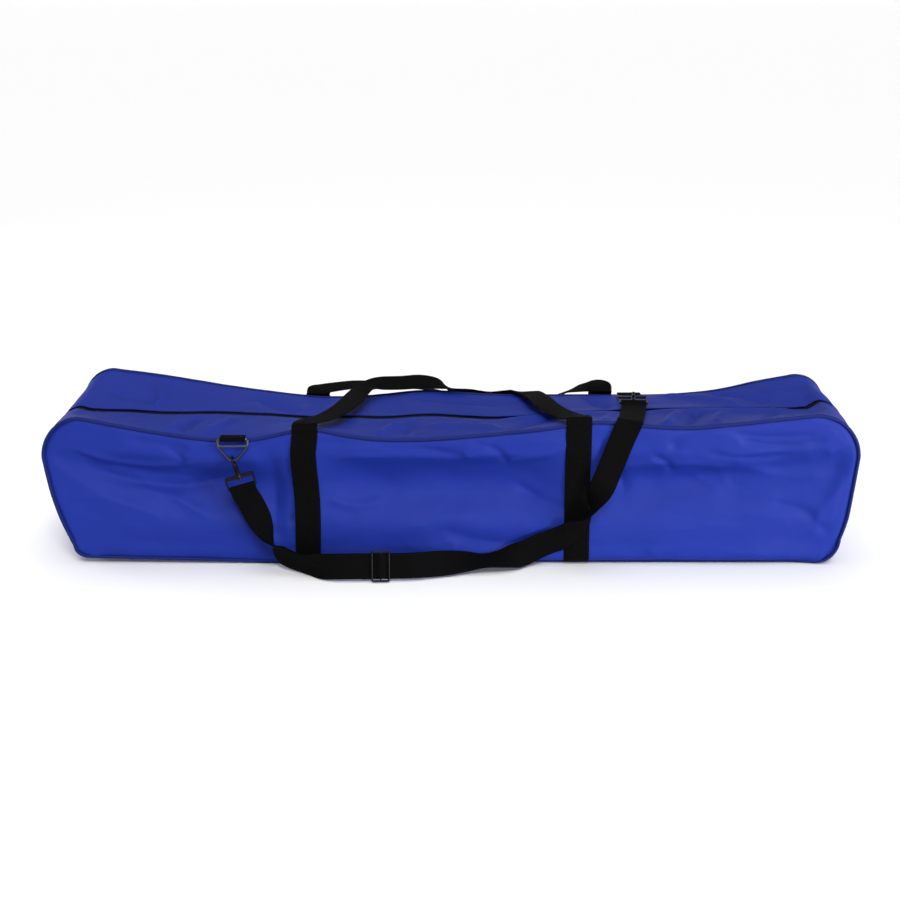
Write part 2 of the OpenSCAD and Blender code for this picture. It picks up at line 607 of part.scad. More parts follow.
front_panel();
back_panel();
base_panel();
left_end();
right_end();
top_gusset();
front_piping();
back_piping();
left_zip_end();
right_zip_end();
front_flap();
back_flap();
front_zip_tape();
back_zip_tape();
front_zip_chain();
back_zip_chain();
zip_slider();
zip_pull();
front_left_webbing();
front_right_webbing();
back_left_webbing();
back_right_webbing();
front_handle();
back_handle();
left_ring_tab();
right_ring_tab();
left_ring();
right_ring();
left_hook();
right_hook();
left_bolt();
right_bolt();
left_strap_loop();
right_strap_loop();
left_strap_fold();
right_strap_fold();
shoulder_strap();
strap_return();
strap_hem();
strap_adjuster();
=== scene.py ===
from math import cos, pi, radians, sin

import bmesh
import bpy
import numpy as np
from mathutils import Matrix, Vector, noise


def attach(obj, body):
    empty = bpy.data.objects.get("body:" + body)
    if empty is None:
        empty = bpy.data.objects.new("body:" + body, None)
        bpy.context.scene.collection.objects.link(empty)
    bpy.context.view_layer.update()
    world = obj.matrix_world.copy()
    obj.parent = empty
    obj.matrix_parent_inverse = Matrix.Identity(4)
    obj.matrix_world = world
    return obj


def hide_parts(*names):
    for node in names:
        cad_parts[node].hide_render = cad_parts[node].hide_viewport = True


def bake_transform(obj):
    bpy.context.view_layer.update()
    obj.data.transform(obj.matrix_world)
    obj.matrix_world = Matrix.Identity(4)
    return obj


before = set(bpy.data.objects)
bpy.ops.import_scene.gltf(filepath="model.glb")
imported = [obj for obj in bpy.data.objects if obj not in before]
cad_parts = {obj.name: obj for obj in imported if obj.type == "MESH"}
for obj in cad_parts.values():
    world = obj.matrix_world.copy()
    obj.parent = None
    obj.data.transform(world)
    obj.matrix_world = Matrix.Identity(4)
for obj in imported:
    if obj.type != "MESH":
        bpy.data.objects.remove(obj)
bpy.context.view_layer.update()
scene = bpy.context.scene
mm = 0.001

# ---- camera and light ----
def addObject(name, data):
    obj = bpy.data.objects.new(name, data)
    scene.collection.objects.link(obj)
    return obj


# lens and sensor in mm, aim, distance and clip in m, elevation in degrees
view = {"lens": 64, "sensor": 36, "aim": (0, -0.125, 0.181), "distance": 2.362, "elevation": 17,
        "clip": 300}


def makeCamera():
    data = bpy.data.cameras.new("camera")
    data.lens = view["lens"]
    data.sensor_width = view["sensor"]
    data.clip_end = view["clip"]
    cam = addObject("camera", data)
    tilt = radians(view["elevation"])
    back = Vector((0, -cos(tilt), sin(tilt)))
    cam.location = Vector(view["aim"]) + back * view["distance"]
    cam.rotation_euler = (radians(90) - tilt, 0, 0)
    scene.camera = cam


makeCamera()

studio = {
    "world": ("#ffffff", 0.17),
    # soft suns in front, overhead and behind: azimuth, elevation and width in degrees, strength
    "key": (6, 43, 24, 2.25),
    "overhead": (172, 84, 60, 1.2),
    "backFill": (186, 44, 70, 0.22),
    # place, aim, size in m, power in W
    "rightFill": ((2.3, -2.0, 0.35), (0.35, -0.1, 0.12), (1.2, 0.5), 68),
    "leftFill": ((-2.6, 0.9, 0.7), (-0.5, 0, 0.12), (1.2, 0.8), 18),
    "floor": "#f4f4f4",
}


def linear(hexColour):
    parts = [int(hexColour[i:i + 2], 16) / 255 for i in (1, 3, 5)]
    return tuple(p / 12.92 if p <= 0.04045 else ((p + 0.055) / 1.055) ** 2.4 for p in parts) + (1,)


def makeLight(name):
    place, aim, size, power = studio[name]
    data = bpy.data.lights.new(name, "AREA")
    data.shape = "RECTANGLE"
    data.size, data.size_y = size
    data.energy = power
    lamp = addObject(name, data)
    lamp.location = place
    lamp.rotation_euler = (Vector(aim) - Vector(place)).to_track_quat("-Z", "Y").to_euler()


def makeSun(name):
    azimuth, elevation, width, strength = studio[name]
    data = bpy.data.lights.new(name, "SUN")
    data.angle = radians(width)
    data.energy = strength
    a, e = radians(azimuth), radians(elevation)
    toSun = Vector((sin(a) * cos(e), -cos(a) * cos(e), sin(e)))
    addObject(name, data).rotation_euler = toSun.to_track_quat("Z", "Y").to_euler()


for name in ("key", "overhead", "backFill"):
    makeSun(name)
for name in ("rightFill", "leftFill"):
    makeLight(name)
world = bpy.data.worlds.new("studio")
scene.world = world
world.use_nodes = True
worldShade = world.node_tree.nodes["Background"]
worldShade.inputs["Color"].default_value = linear(studio["world"][0])
worldShade.inputs["Strength"].default_value = studio["world"][1]
scene.view_settings.view_transform = "Standard"


# ---- materials ----
def addNode(tree, kind, links=None, sockets=None, **settings):
    node = tree.nodes.new(kind)
    for key, value in settings.items():
        setattr(node, key, value)
    for key, value in (sockets or {}).items():
        node.inputs[key].default_value = value
    for key, source in (links or {}).items():
        tree.links.new(source, node.inputs[key])
    return node


def newMaterial(name, colour, roughness, **sockets):
    mat = bpy.data.materials.new(name)
    mat.use_nodes = True
    shader = mat.node_tree.nodes["Principled BSDF"]
    shader.inputs["Base Color"].default_value = linear(colour)
    shader.inputs["Roughness"].default_value = roughness
    for key, value in sockets.items():
        shader.inputs[key.replace("_", " ")].default_value = value
    return mat, mat.node_tree, shader


def addTexture(tree, kind, space, sockets, **settings):
    # a texture laid by the UV map or by the place on the object, both in m
    coord = addNode(tree, "ShaderNodeTexCoord")
    return addNode(tree, "ShaderNodeTex" + kind, {"Vector": coord.outputs[space]}, sockets, **settings)


def addWeave(tree, *threads):
    # threads both ways: direction, distance apart, other sockets
    waves = []
    for direction, apart, sockets in threads:
        scale = pi / 10 / apart   # wave bands repeat every pi / 10 units at scale 1
        wave = addTexture(tree, "Wave", "UV", {"Scale": scale, **sockets}, bands_direction=direction)
        waves.append(wave.outputs["Fac"])
    return addNode(tree, "ShaderNodeMath", dict(enumerate(waves)), operation="MULTIPLY").outputs["Value"]


def addBump(tree, height, strength, distance, under=None):
    links = {"Height": height, "Normal": under.outputs["Normal"]} if under else {"Height": height}
    return addNode(tree, "ShaderNodeBump", links, {"Strength": strength, "Distance": distance})


def addTones(tree, shader, factor, tones, shade=1.0):
    # the base colour runs from the first tone to the second
    mix = addNode(tree, "ShaderNodeMix", {"Factor": factor}, data_type="RGBA")
    for socket, tone in zip("AB", tones):
        mix.inputs[socket].default_value = [c * shade for c in linear(tone)[:3]] + [1]
    tree.links.new(mix.outputs["Result"], shader.inputs["Base Color"])


def addRoughness(tree, shader, factor, low, high):
    rough = addNode(tree, "ShaderNodeMapRange", {"Value": factor}, {"To Min": low, "To Max": high})
    tree.links.new(rough.outputs["Result"], shader.inputs["Roughness"])


# coated polyester plain weave: soft sheen, a fine grid of threads, small handling creases and sharp folds
polyester = {
    "colour": "#142a88", "dark": "#11247a", "roughness": 0.6, "specular": 0.15,
    "sheen": 0.02, "sheenTint": "#5a6cff",
    # in m; the real threads are 0.4 mm apart, too fine to show
    "thread": 0.0021, "threadDepth": 0.00012, "creaseDepth": 0.0016, "foldDepth": 0.012,
    # patches of wear, creases and folds per metre
    "patch": 7, "crease": 17, "fold": 8,
}


def makePolyester(name, shade=1.0):
    p = polyester
    mat, tree, shader = newMaterial(name, p["colour"], p["roughness"], Sheen_Weight=p["sheen"],
                                    Sheen_Roughness=0.45, Specular_IOR_Level=p["specular"])
    shader.inputs["Sheen Tint"].default_value = linear(p["sheenTint"])
    patch = addTexture(tree, "Noise", "Object", {"Scale": p["patch"], "Detail": 4, "Roughness": 0.6})
    addTones(tree, shader, patch.outputs["Fac"], (p["dark"], p["colour"]), shade)
    addRoughness(tree, shader, patch.outputs["Fac"], p["roughness"] - 0.08, p["roughness"] + 0.1)
    sockets = {"Distortion": 0.6, "Detail": 0}
    weave = addWeave(tree, ("X", p["thread"], sockets), ("Y", p["thread"], sockets))
    fine = addBump(tree, weave, 0.35, p["threadDepth"])
    creases = addTexture(tree, "Noise", "Object",
                         {"Scale": p["crease"], "Detail": 3, "Roughness": 0.45, "Distortion": 0.7})
    soft = addBump(tree, creases.outputs["Fac"], 0.6, p["creaseDepth"], fine)
    ridges = addTexture(tree, "Noise", "Object",
                        {"Scale": p["fold"], "Detail": 3, "Roughness": 0.4, "Distortion": 0.4},
                        noise_type="RIDGED_MULTIFRACTAL")
    folds = addBump(tree, ridges.outputs["Fac"], 0.5, p["foldDepth"], soft)
    tree.links.new(folds.outputs["Normal"], shader.inputs["Normal"])
    return mat


# heavy black polyester webbing: lengthwise ribs crossed by the weft, dull, with the rib crests painted
# paler as a painted highlight; sizes in m
webbing = {"colour": "#030304", "litCrest": "#0a0a0b", "roughness": 0.85, "specular": 0.05,
           "rib": 0.0026, "pick": 0.0019, "depth": 0.0004}


def makeWebbing():
    p = webbing
    mat, tree, shader = newMaterial("blackWebbing", p["colour"], p["roughness"],
                                    Specular_IOR_Level=p["specular"])
    weave = addWeave(tree, ("Y", p["rib"], {"Distortion": 0.3}), ("X", p["pick"], {"Distortion": 0.5}))
    # the paler tone on the rib crests is a painted highlight
    addTones(tree, shader, weave, (p["colour"], p["litCrest"]))
    bump = addBump(tree, weave, 0.7, p["depth"])
    tree.links.new(bump.outputs["Normal"], shader.inputs["Normal"])
    return mat


# a plain finish with fine grain: grains per metre, and their depth in m
def makeGrained(name, colour, roughness, grain, depth, **sockets):
    mat, tree, shader = newMaterial(name, colour, roughness, **sockets)
    speck = addTexture(tree, "Noise", "Object", {"Scale": grain, "Detail": 3, "Roughness": 0.6})
    addRoughness(tree, shader, speck.outputs["Fac"], roughness - 0.1, roughness + 0.12)
    bump = addBump(tree, speck.outputs["Fac"], 0.4, depth)
    tree.links.new(bump.outputs["Normal"], shader.inputs["Normal"])
    return mat


clothMat = makePolyester("royalBluePolyester")
# the same cloth darkened to 0.45 as painted shade: it stands in for the shadow lines along the seam and
# dulls the piping's highlight
pipingShadedMat = makePolyester("pipingShadedPolyester", 0.45)
webbingMat = makeWebbing()
# bonded polyester thread, a little brighter than the webbing that it sews
blackThread = makeGrained("blackThread", "#050506", 0.8, 900, 0.00005, Specular_IOR_Level=0.1)
# moulded nylon coils, smoother than the woven tape that they are sewn to
zipMat = makeGrained("blackNylonCoil", "#060607", 0.45, 700, 0.00005, Specular_IOR_Level=0.25)
tapeMat = makeGrained("blackZipTape", "#050506", 0.85, 1200, 0.0001, Specular_IOR_Level=0.1)
# die-cast zinc under black paint: soft gloss with faint orange peel
paintedMat = makeGrained("blackPaintedZinc", "#030304", 0.34, 320, 0.00006, Specular_IOR_Level=0.16)
# dark nickel plate: wire that mirrors the studio dimly with a slight haze
nickelMat = makeGrained("darkNickelWire", "#4a4b4f", 0.3, 500, 0.00003, Metallic=1.0)
# matt studio paper
floorMat = makeGrained("paperFloor", studio["floor"], 0.9, 3, 0.0001)


# ---- shared shapes, all in mm until the mesh is made ----
def joined(*columns):
    # coordinates side by side, as points
    return np.stack(np.broadcast_arrays(*columns), -1)


def lengths(path):
    # distance along a path at each of its points
    return np.concatenate([[0], np.cumsum(np.linalg.norm(np.diff(path, axis=0), axis=1))])


def between(t, stations, rows):
    # the rows, which stand at the stations, read at t
    return np.stack([np.interp(t, stations, column) for column in rows.T], -1)


def smoothRows(rows, n):
    # a smooth curve through the rows, with n steps between neighbours
    rows = np.array(rows, float)
    ends = np.vstack([rows[:1], rows, rows[-1:]])
    t = (np.arange(n) / n)[:, None]
    out = []
    for i in range(len(rows) - 1):
        a, b, c, d = ends[i:i + 4]
        out.append(0.5 * (2 * b + (c - a) * t + (2 * a - 5 * b + 4 * c - d) * t ** 2
                          + (3 * b - a - 3 * c + d) * t ** 3))
    return np.vstack(out + [rows[-1:]])


def unit(v):
    return v / np.maximum(np.linalg.norm(v, axis=-1, keepdims=True), 1e-9)


def hump(value, middle, width):
    return np.exp(-((value - middle) / width) ** 2)


def ease(t):
    t = np.clip(t, 0, 1)
    return t * t * (3 - 2 * t)


def grain(points, size, seed=0, depth=1):
    # smooth noise in -depth..depth, with features of about that size
    place = np.asarray(points, float).reshape(-1, 3) / size + seed
    return np.array([noise.noise(Vector(p)) for p in place]).reshape(np.shape(points)[:-1]) * depth


def wrinkles(points, size, seed, depth):
    # thin ridges where the noise crosses zero, 0..depth
    return np.clip(1 - np.abs(grain(points, size, seed)) * 2.6, 0, 1) ** 2 * depth


def makeMesh(bm, name, mat):
    mesh = bpy.data.meshes.new(name)
    bm.to_mesh(mesh)
    bm.free()
    mesh.materials.append(mat)
    return addObject(name, mesh)


def finishMesh(bm, name, mat, body, nodes=()):
    obj = makeMesh(bm, name, mat)
    for face in obj.data.polygons:
        face.use_smooth = True
    if nodes:
        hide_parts(*nodes)
    if isinstance(body, str):
        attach(obj, body)
    else:
        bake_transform(obj)
    return obj


def bentGrid(us, vs, place, keep=None, flip=False, closed=False):
    # a grid with stations us and vs, bent into place: place(u, v) gives points and their UV in mm
    nu, nv = len(us) - 1, len(vs) - 1
    bm = bmesh.new()
    bmesh.ops.create_grid(bm, x_segments=nu, y_segments=nv, size=0.5)
    bm.verts.ensure_lookup_table()
    start = np.array([v.co[:] for v in bm.verts])
    iu = np.rint((start[:, 0] + 0.5) * nu).astype(int)
    iv = np.rint((start[:, 1] + 0.5) * nv).astype(int)
    points, uvs = place(np.asarray(us, float)[iu], np.asarray(vs, float)[iv])
    uvLayer = bm.loops.layers.uv.new("UVMap")
    for face in bm.faces:
        for loop in face.loops:
            loop[uvLayer].uv = uvs[loop.vert.index] * mm
    for v in bm.verts:
        v.co = points[v.index] * mm
    if keep is not None:
        gone = []
        for face in bm.faces:
            ids = [v.index for v in face.verts]
            if not keep(us[iu[ids].min()], us[iu[ids].max()], vs[iv[ids].min()], vs[iv[ids].max()]):
                gone.append(face)
        bmesh.ops.delete(bm, geom=gone, context="FACES")
    if closed:
        bmesh.ops.remove_doubles(bm, verts=bm.verts, dist=1e-6)
    for edge in bm.edges:
        edge.smooth = not edge.is_boundary   # a rim must not shade the cloth beside it
    if flip:
        bmesh.ops.reverse_faces(bm, faces=bm.faces)
    return bm


def addSolidify(obj, thickness):
    layer = obj.modifiers.new("thickness", "SOLIDIFY")
    layer.thickness = thickness * mm
    layer.offset = -1


def sewnSheet(obj, *sewnTo):
    # cloth stretched over the load: its UV map is its outline laid flat, in m, and its folds take more
    # cloth across than that
    addSolidify(obj, shell["thickness"])
    uv = np.empty(len(obj.data.loops) * 2)
    obj.data.uv_layers[0].data.foreach_get("uv", uv)
    u, v = uv.reshape(-1, 4, 2).transpose(2, 0, 1)


# ---- outline of the bag ----
shell = {
    # from the bag's middle to its face, to its sewn edge and to the edge of the zip's slot
    "half": 125, "sewn": 123.5, "slot": 9,
    # radius of the piping's seam, radius of the piping as it shows, thickness of the cloth
    "piping": 3, "pipingShown": 2.6, "thickness": 1.1,
    # how far inside their outlines the gusset and the zip lie
    "gussetInset": 1.5, "zipInset": 3.9,
    # how square the upper corners are along the zip and at the back; 2 is an ellipse
    "midSquare": 2.6, "backSquare": 2.3,
    # furthest x at both ends, and the height where the upper corners start
    "left": -605, "right": 608, "start": 168,
    # where the lower corners start, and their radii
    "lowLeft": -545, "low": 22, "lowRight": 548, "rightLow": 40,
    # x, height of the front seam, height of the back seam
    "seams": [
        [-545, 232, 244], [-520, 227, 241], [-490, 221, 237], [-430, 210, 228], [-360, 200, 216],
        [-290, 200, 206], [-213, 215, 197], [-150, 205, 195], [-100, 199.5, 196], [-30, 200, 201],
        [55, 207, 200], [140, 216, 200], [220, 226, 200], [290, 220, 200], [350, 217, 201],
        [430, 224, 208], [490, 231, 220], [540, 236, 231]],
    # x, height of the sagging zip, level where the slider stops
    "zip": [
        [-545, 205.6], [-532, 204.4], [-514, 204], [-496, 203.8], [-470, 202.4], [-430, 200.5],
        [-360, 201], [-290, 198.5], [-213, 193.5], [-150, 195], [-100, 193.5], [-30, 197.5], [55, 192.5],
        [140, 196], [220, 201.5], [290, 205], [350, 206], [430, 206.4], [480, 206.8], [498, 207],
        [514, 207], [530, 207.2], [540, 208]],
    "leftEdge": [[-567, 22], [-583, 65], [-596, 115], [-605, 168]],
    "rightEdge": [[608, 168], [602, 112], [597, 72], [588, 40]],
}


def cornerArc(cx, cz, rx, rz, start, end, n, power=2.0):
    # n steps round an ellipse, or round a squarer curve with a higher power
    a = np.radians(np.linspace(start, end, n + 1))
    c, s = np.cos(a), np.sin(a)
    return np.column_stack([cx + rx * np.sign(c) * np.abs(c) ** (2 / power),
                            cz + rz * np.sign(s) * np.abs(s) ** (2 / power)])


def edgeLine(tops, power=2.0):
    # an outline in x and z from the left foot over the top to the right foot
    s = shell
    first, last = tops[0], tops[-1]
    return np.vstack([
        cornerArc(s["lowLeft"], s["low"], s["low"], s["low"], 270, 180, 8),
        smoothRows(s["leftEdge"], 8)[1:-1],
        cornerArc(first[0], s["start"], first[0] - s["left"], first[1] - s["start"], 180, 90, 18, power),
        tops[1:-1],
        cornerArc(last[0], s["start"], s["right"] - last[0], last[1] - s["start"], 90, 0, 18, power),
        smoothRows(s["rightEdge"], 8)[1:-1],
        cornerArc(s["lowRight"], s["rightLow"], s["rightLow"], s["rightLow"], 0, -90, 8)])


seamTops = smoothRows(shell["seams"], 8)
zipCurve = smoothRows(shell["zip"], 8)
zipTops = np.interp(seamTops[:, 0], zipCurve[:, 0], zipCurve[:, 1])
frontLine = edgeLine(seamTops[:, :2])
midLine = edgeLine(joined(seamTops[:, 0], zipTops + shell["zipInset"]), shell["midSquare"])
# the back seam rises in its middle and is fuller at its right corner, and its left end stands further in
backTops = seamTops[:, [0, 2]]
backTops[:, 0] += 14 * ease((backTops[:, 0] - 480) / 60)
backTops[:, 1] += 3 * ease((backTops[:, 0] - 400) / 140) + 7 * hump(backTops[:, 0], -60, 95)
backLine = edgeLine(backTops, shell["backSquare"])
backLine[:, 0] += 9 * ease((-520 - backLine[:, 0]) / 50) * ease((backLine[:, 1] - 40) / 90)
# the zip climbs over the load at both ends
overEnd = ease((midLine[:, 1] - shell["start"]) / 30)
midLine[:, 1] += (15 * ease((midLine[:, 0] - 546) / 28) + 7 * ease((-552 - midLine[:, 0]) / 24)) * overEnd
lineAt = lengths(frontLine)


def along(line, t):
    # the place on an outline, or its normal there, at distance t along the front outline
    return between(t, lineAt, line)


def lineNormals(line):
    step = np.gradient(line, axis=0)
    return unit(joined(-step[:, 1], step[:, 0]))


lines = {"front": frontLine, "mid": midLine, "back": backLine}
normals = {key: lineNormals(line) for key, line in lines.items()}


def inset(key, d):
    # an outline moved inwards by d, and less near the ground
    fade = np.minimum(1, np.maximum(lines[key][:, 1], 0) / shell["low"])[:, None]
    return lines[key] - normals[key] * d * fade


# how the load sits: how far the foot rolls under, the belly above it stands out and the left foot is
# lifted, in mm, how much of its depth the left foot loses, and between which x the foot is rolled under
sitting = {"under": 13, "belly": 4, "lift": 9, "drawn": 0.045, "rolled": (-320, 585)}


def settle(points):
    # the foot is rolled under along the front, and the left end stands a little off the ground
    points = np.array(points)
    x, y, z = points[..., 0], points[..., 1], points[..., 2]
    s = sitting
    front = 0.5 - 0.5 * np.clip(y / 120, -1, 1)
    rolled = ease((x - s["rolled"][0]) / 200) * ease((s["rolled"][1] - x) / 80)
    under = s["under"] * ease(1 - z / 11) * front
    belly = s["belly"] * hump(z, 16, 12) * front
    drawn = s["drawn"] * np.clip(1 - z / 20, 0, 1) ** 1.4 * ease((-200 - x) / 120)
    points[..., 1] = y * (1 - drawn) + (under - belly) * rolled
    points[..., 2] = z + s["lift"] * np.clip((-240 - x) / 320, 0, 1) * front * np.clip(1 - z / 110, 0, 1)
    return points


def topT(x):
    # distance along the front outline at x on the top of the bag
    top = frontLine[:, 1] > shell["start"] + 0.5
    return np.interp(x, frontLine[top, 0], lineAt[top])


# ---- front and back panels ----
# x, top ridge, valley, belly, valley depth: the load pushes the cloth out above and below the valley
frontFolds = {
    # x where the webbing holds the cloth flatter
    "webs": (-214, 190),
    "waves": [
        [-605, 190, 176, 60, 2], [-560, 192, 156, 70, 5], [-500, 188, 146, 60, 9],
        [-430, 178, 132, 50, 12], [-360, 172, 124, 46, 13], [-290, 170, 120, 44, 12],
        [-230, 176, 120, 42, 9], [-190, 184, 120, 42, 9], [-120, 190, 122, 44, 12],
        [-40, 192, 120, 46, 13], [60, 194, 120, 48, 12.5], [140, 192, 122, 50, 10.5],
        [190, 188, 124, 48, 9], [250, 180, 124, 44, 11], [310, 178, 124, 44, 12], [370, 178, 128, 48, 11],
        [430, 176, 132, 50, 9.5], [490, 182, 142, 60, 7.5], [550, 190, 154, 70, 5],
        [608, 192, 170, 70, 2]],
    # depth inwards, width, then x and z of each point of the crease's path
    "creases": [
        (-2.6, 7, -560, 196, -520, 168, -455, 152, -380, 158),
        (2.4, 8, -540, 150, -470, 124, -400, 116, -330, 128), (-1.8, 8, -470, 118, -410, 100, -360, 74),
        (2.6, 6, -420, 186, -398, 168, -404, 150), (-1.8, 8, -330, 120, -300, 100, -282, 70),
        (2.2, 6, 30, 196, 70, 180, 84, 160), (-1.8, 7, 84, 160, 120, 170, 160, 186),
        (2.2, 8, 100, 118, 140, 96, 176, 88), (-1.8, 8, -180, 100, -140, 90, -100, 98),
        (-1.8, 8, 250, 150, 330, 158, 420, 150), (2.4, 6, 300, 172, 322, 160, 330, 142),
        (2.2, 6, 380, 176, 440, 168, 500, 172), (-1.6, 9, 440, 150, 500, 136, 560, 140),
        (1.8, 9, 480, 96, 530, 84, 570, 50), (3.4, 8, -190, 196, -100, 193, -40, 184, 20, 171),
        (-2.2, 7, 20, 171, 40, 182, 60, 197), (-2.6, 13, -190, 176, -60, 170, 60, 172, 170, 188),
        (3, 7, -470, 196, -420, 192, -390, 181), (-2, 6, -390, 181, -372, 190, -360, 197),
        (-2.8, 20, -590, 160, -540, 122, -480, 90, -430, 68),
        (3.6, 20, -268, 185, -262, 130, -262, 70, -272, 40), (3, 9, -236, 60, -228, 100, -238, 170),
        (3, 8, 325, 184, 345, 200, 372, 214), (-2, 8, 372, 214, 400, 205, 430, 184),
        (2, 5, 415, 208, 470, 200, 540, 204), (2.2, 5, 430, 194, 490, 188, 556, 196),
        (-2, 6, 560, 214, 566, 190, 560, 172), (2.6, 10, 225, 196, 240, 160, 256, 130, 262, 100),
        (-2.2, 12, 590, 140, 570, 100, 545, 60), (-1.8, 12, 400, 60, 330, 40, 300, 16),
        (2, 14, -30, 60, 60, 36, 150, 40), (-2.4, 8, -60, 34, -20, 26, 10, 34),
        (1.6, 14, -500, 40, -430, 30, -350, 34),
    ],
    "seed": 31,
}
backFolds = {
    "webs": (-214, 243),
    "waves": [
        [-605, 190, 172, 64, 2], [-540, 196, 158, 70, 5], [-450, 190, 140, 56, 9],
        [-330, 180, 128, 46, 11], [-214, 170, 122, 42, 6], [-120, 168, 116, 44, 10],
        [0, 168, 112, 46, 12], [120, 170, 118, 44, 10], [243, 172, 122, 44, 6], [350, 176, 130, 50, 10],
        [450, 184, 142, 56, 9], [550, 188, 156, 66, 5], [608, 190, 168, 70, 2]],
    "creases": [
        (3.2, 9, -190, 182, -110, 176, -40, 160), (-2.4, 8, -40, 160, 20, 172, 60, 190),
        (-2.4, 12, 60, 182, 140, 172, 220, 184), (3, 9, -470, 214, -430, 190, -410, 160),
        (-2.6, 18, -560, 150, -500, 112, -440, 84), (4.6, 15, -250, 180, -256, 120, -246, 60),
        (4.6, 15, 290, 182, 300, 130, 286, 60), (2.6, 8, 340, 186, 400, 176, 450, 190),
        (-2.4, 16, 560, 150, 520, 100, 470, 70), (2, 12, 400, 40, 470, 30, 540, 40),
        (2, 14, -120, 40, -20, 30, 90, 42),
    ],
    "seed": 87,
}


def distanceTo(points, path):
    # distance and place along an open path, for many points
    path = smoothRows(path, 5)
    best = np.full(points.shape[:-1], 1e9)
    where = np.zeros(points.shape[:-1])
    total = len(path) - 1
    for i in range(total):
        a, b = path[i], path[i + 1]
        ab = b - a
        t = np.clip(((points - a) @ ab) / (ab @ ab), 0, 1)
        d = np.linalg.norm(points - (a + t[..., None] * ab), axis=-1)
        closer = d < best
        best = np.where(closer, d, best)
        where = np.where(closer, (i + t) / total, where)
    return best, where


def creaseField(points, creases):
    # sharp-crested creases that fade out at both ends
    total = np.zeros(points.shape[:-1])
    for depth, width, *path in creases:
        d, s = distanceTo(points, np.reshape(path, (-1, 2)))
        ridge = 0.6 * np.exp(-(d / width) ** 2) + 0.4 * np.exp(-d / width / 0.7)
        total += 2.4 * depth * ridge * np.clip(np.sin(pi * (0.06 + 0.88 * s)) * 1.6, 0, 1)
    return total


def panelDepth(points, folds, topLine):
    # how far the cloth lies inside the flat face, at x and z
    x, z = points[..., 0], points[..., 1]
    waves = np.array(folds["waves"], float)
    ridge, valley, belly, depth = [np.interp(x, waves[:, 0], waves[:, k]) for k in (1, 2, 3, 4)]
    pressed = sum(hump(x, middle, 48) for middle in folds["webs"])
    depth = depth * (2.5 - 1.5 * pressed)
    seam = np.interp(x, topLine[:, 0], topLine[:, 1])
    low = 2.5 * (1 - ease(z / belly))
    up = depth * ease((z - belly) / (valley - belly)) ** 1.3
    down = depth * (1 - ease((z - valley) / np.maximum(ridge - valley, 8)))
    top = 2.5 * ease((z - ridge) / np.maximum(seam - ridge, 8))
    return np.where(z < belly, low, np.where(z < valley, up, np.where(z < ridge, down, top)))


def seamPull(rim, run, flat, dip, reach, pucker, pace):
    # near a seam, rim away from it and run along it, the cloth dips and puckers
    ripple = np.sin(run / pace + 3 * grain(flat, 90))
    return dip * np.exp(-(rim / reach) ** 2), ripple * np.exp(-rim / 7) * pucker


# noise in the cloth by size, seed and depth; its pull at the seams by dip, reach, pucker and pace; how far
# from a seam it is calmer; how far it may stand proud of the outline; the length around the panel
panelCloth = {"broad": (62, 0, 1.5), "small": (27, 5, 0.55), "long": (120, 6, 2.2), "short": (62, 2, 1.1),
              "upright": (74, 9, 1.5), "patches": (150, 3), "seam": (4.0, 4.8, 0.35, 15), "calm": 34,
              "proud": 1.2, "around": 2600}


def panelPlace(key, folds, side):
    # a patch between four sides of the outline, which meet within its corner arcs; u and v run 0..1
    edge = inset(key, shell["piping"])
    n = len(edge)
    lowLeft, topLeft, topRight, lowRight = 4, 40, n - 41, n - 5

    def part(points):
        step = lengths(points)
        return step / step[-1], points

    left = part(edge[lowLeft:topLeft + 1])
    top = part(edge[topLeft:topRight + 1])
    right = part(edge[topRight:lowRight + 1][::-1])
    bottom = part(np.vstack([edge[lowLeft::-1], np.linspace(edge[0], edge[-1], 40)[1:-1],
                             edge[:lowRight - 1:-1]]))

    def place(u, v):
        lo, hi, le, ri = between(u, *bottom), between(u, *top), between(v, *left), between(v, *right)
        c00, c10, c01, c11 = edge[lowLeft], edge[lowRight], edge[topLeft], edge[topRight]
        uu, vv = u[..., None], v[..., None]
        p = ((1 - vv) * lo + vv * hi + (1 - uu) * le + uu * ri
             - ((1 - uu) * (1 - vv) * c00 + uu * (1 - vv) * c10 + (1 - uu) * vv * c01 + uu * vv * c11))
        rim, where = distanceTo(p, edge[::6])
        rim = np.where((u == 0) | (u == 1) | (v == 0) | (v == 1), 0, rim)
        c = panelCloth
        x, z = p[..., 0], p[..., 1]
        inside = ease(rim / c["calm"])
        flat = joined(x, folds["seed"], z)
        depth = (panelDepth(p, folds, edge[topLeft:topRight]) + creaseField(p, folds["creases"])) * inside
        depth += (grain(flat * [1, 1, 1.7], *c["broad"]) + grain(flat * [1, 1, 2.2], *c["small"])) * inside
        slant = joined(x + 0.7 * z, folds["seed"], z * 1.9)
        patches = ease(grain(flat, *c["patches"]) * 1.6 + 0.35)
        depth -= (wrinkles(slant, *c["long"]) + wrinkles(slant, *c["short"])) * inside * patches
        depth -= wrinkles(flat * [1, 1, 0.6], *c["upright"]) * inside * ease((z - 150) / 40)
        dip, pucker = seamPull(rim, where * c["around"], flat, *c["seam"])
        depth = np.maximum(depth, -c["proud"]) + dip + pucker
        return settle(joined(x, side * (shell["half"] - depth), z)), p

    return place


print("cloth panels")
panelGrid = {"us": np.linspace(0, 1, 341), "vs": np.linspace(0, 1, 67)}
for key, folds, side in (("front", frontFolds, -1), ("back", backFolds, 1)):
    bm = bentGrid(panelGrid["us"], panelGrid["vs"], panelPlace(key, folds, side), flip=side > 0)
    cloth = finishMesh(bm, key + "Cloth", clothMat, "bag", [key + "_panel"])
    sewnSheet(cloth, key + "Piping")


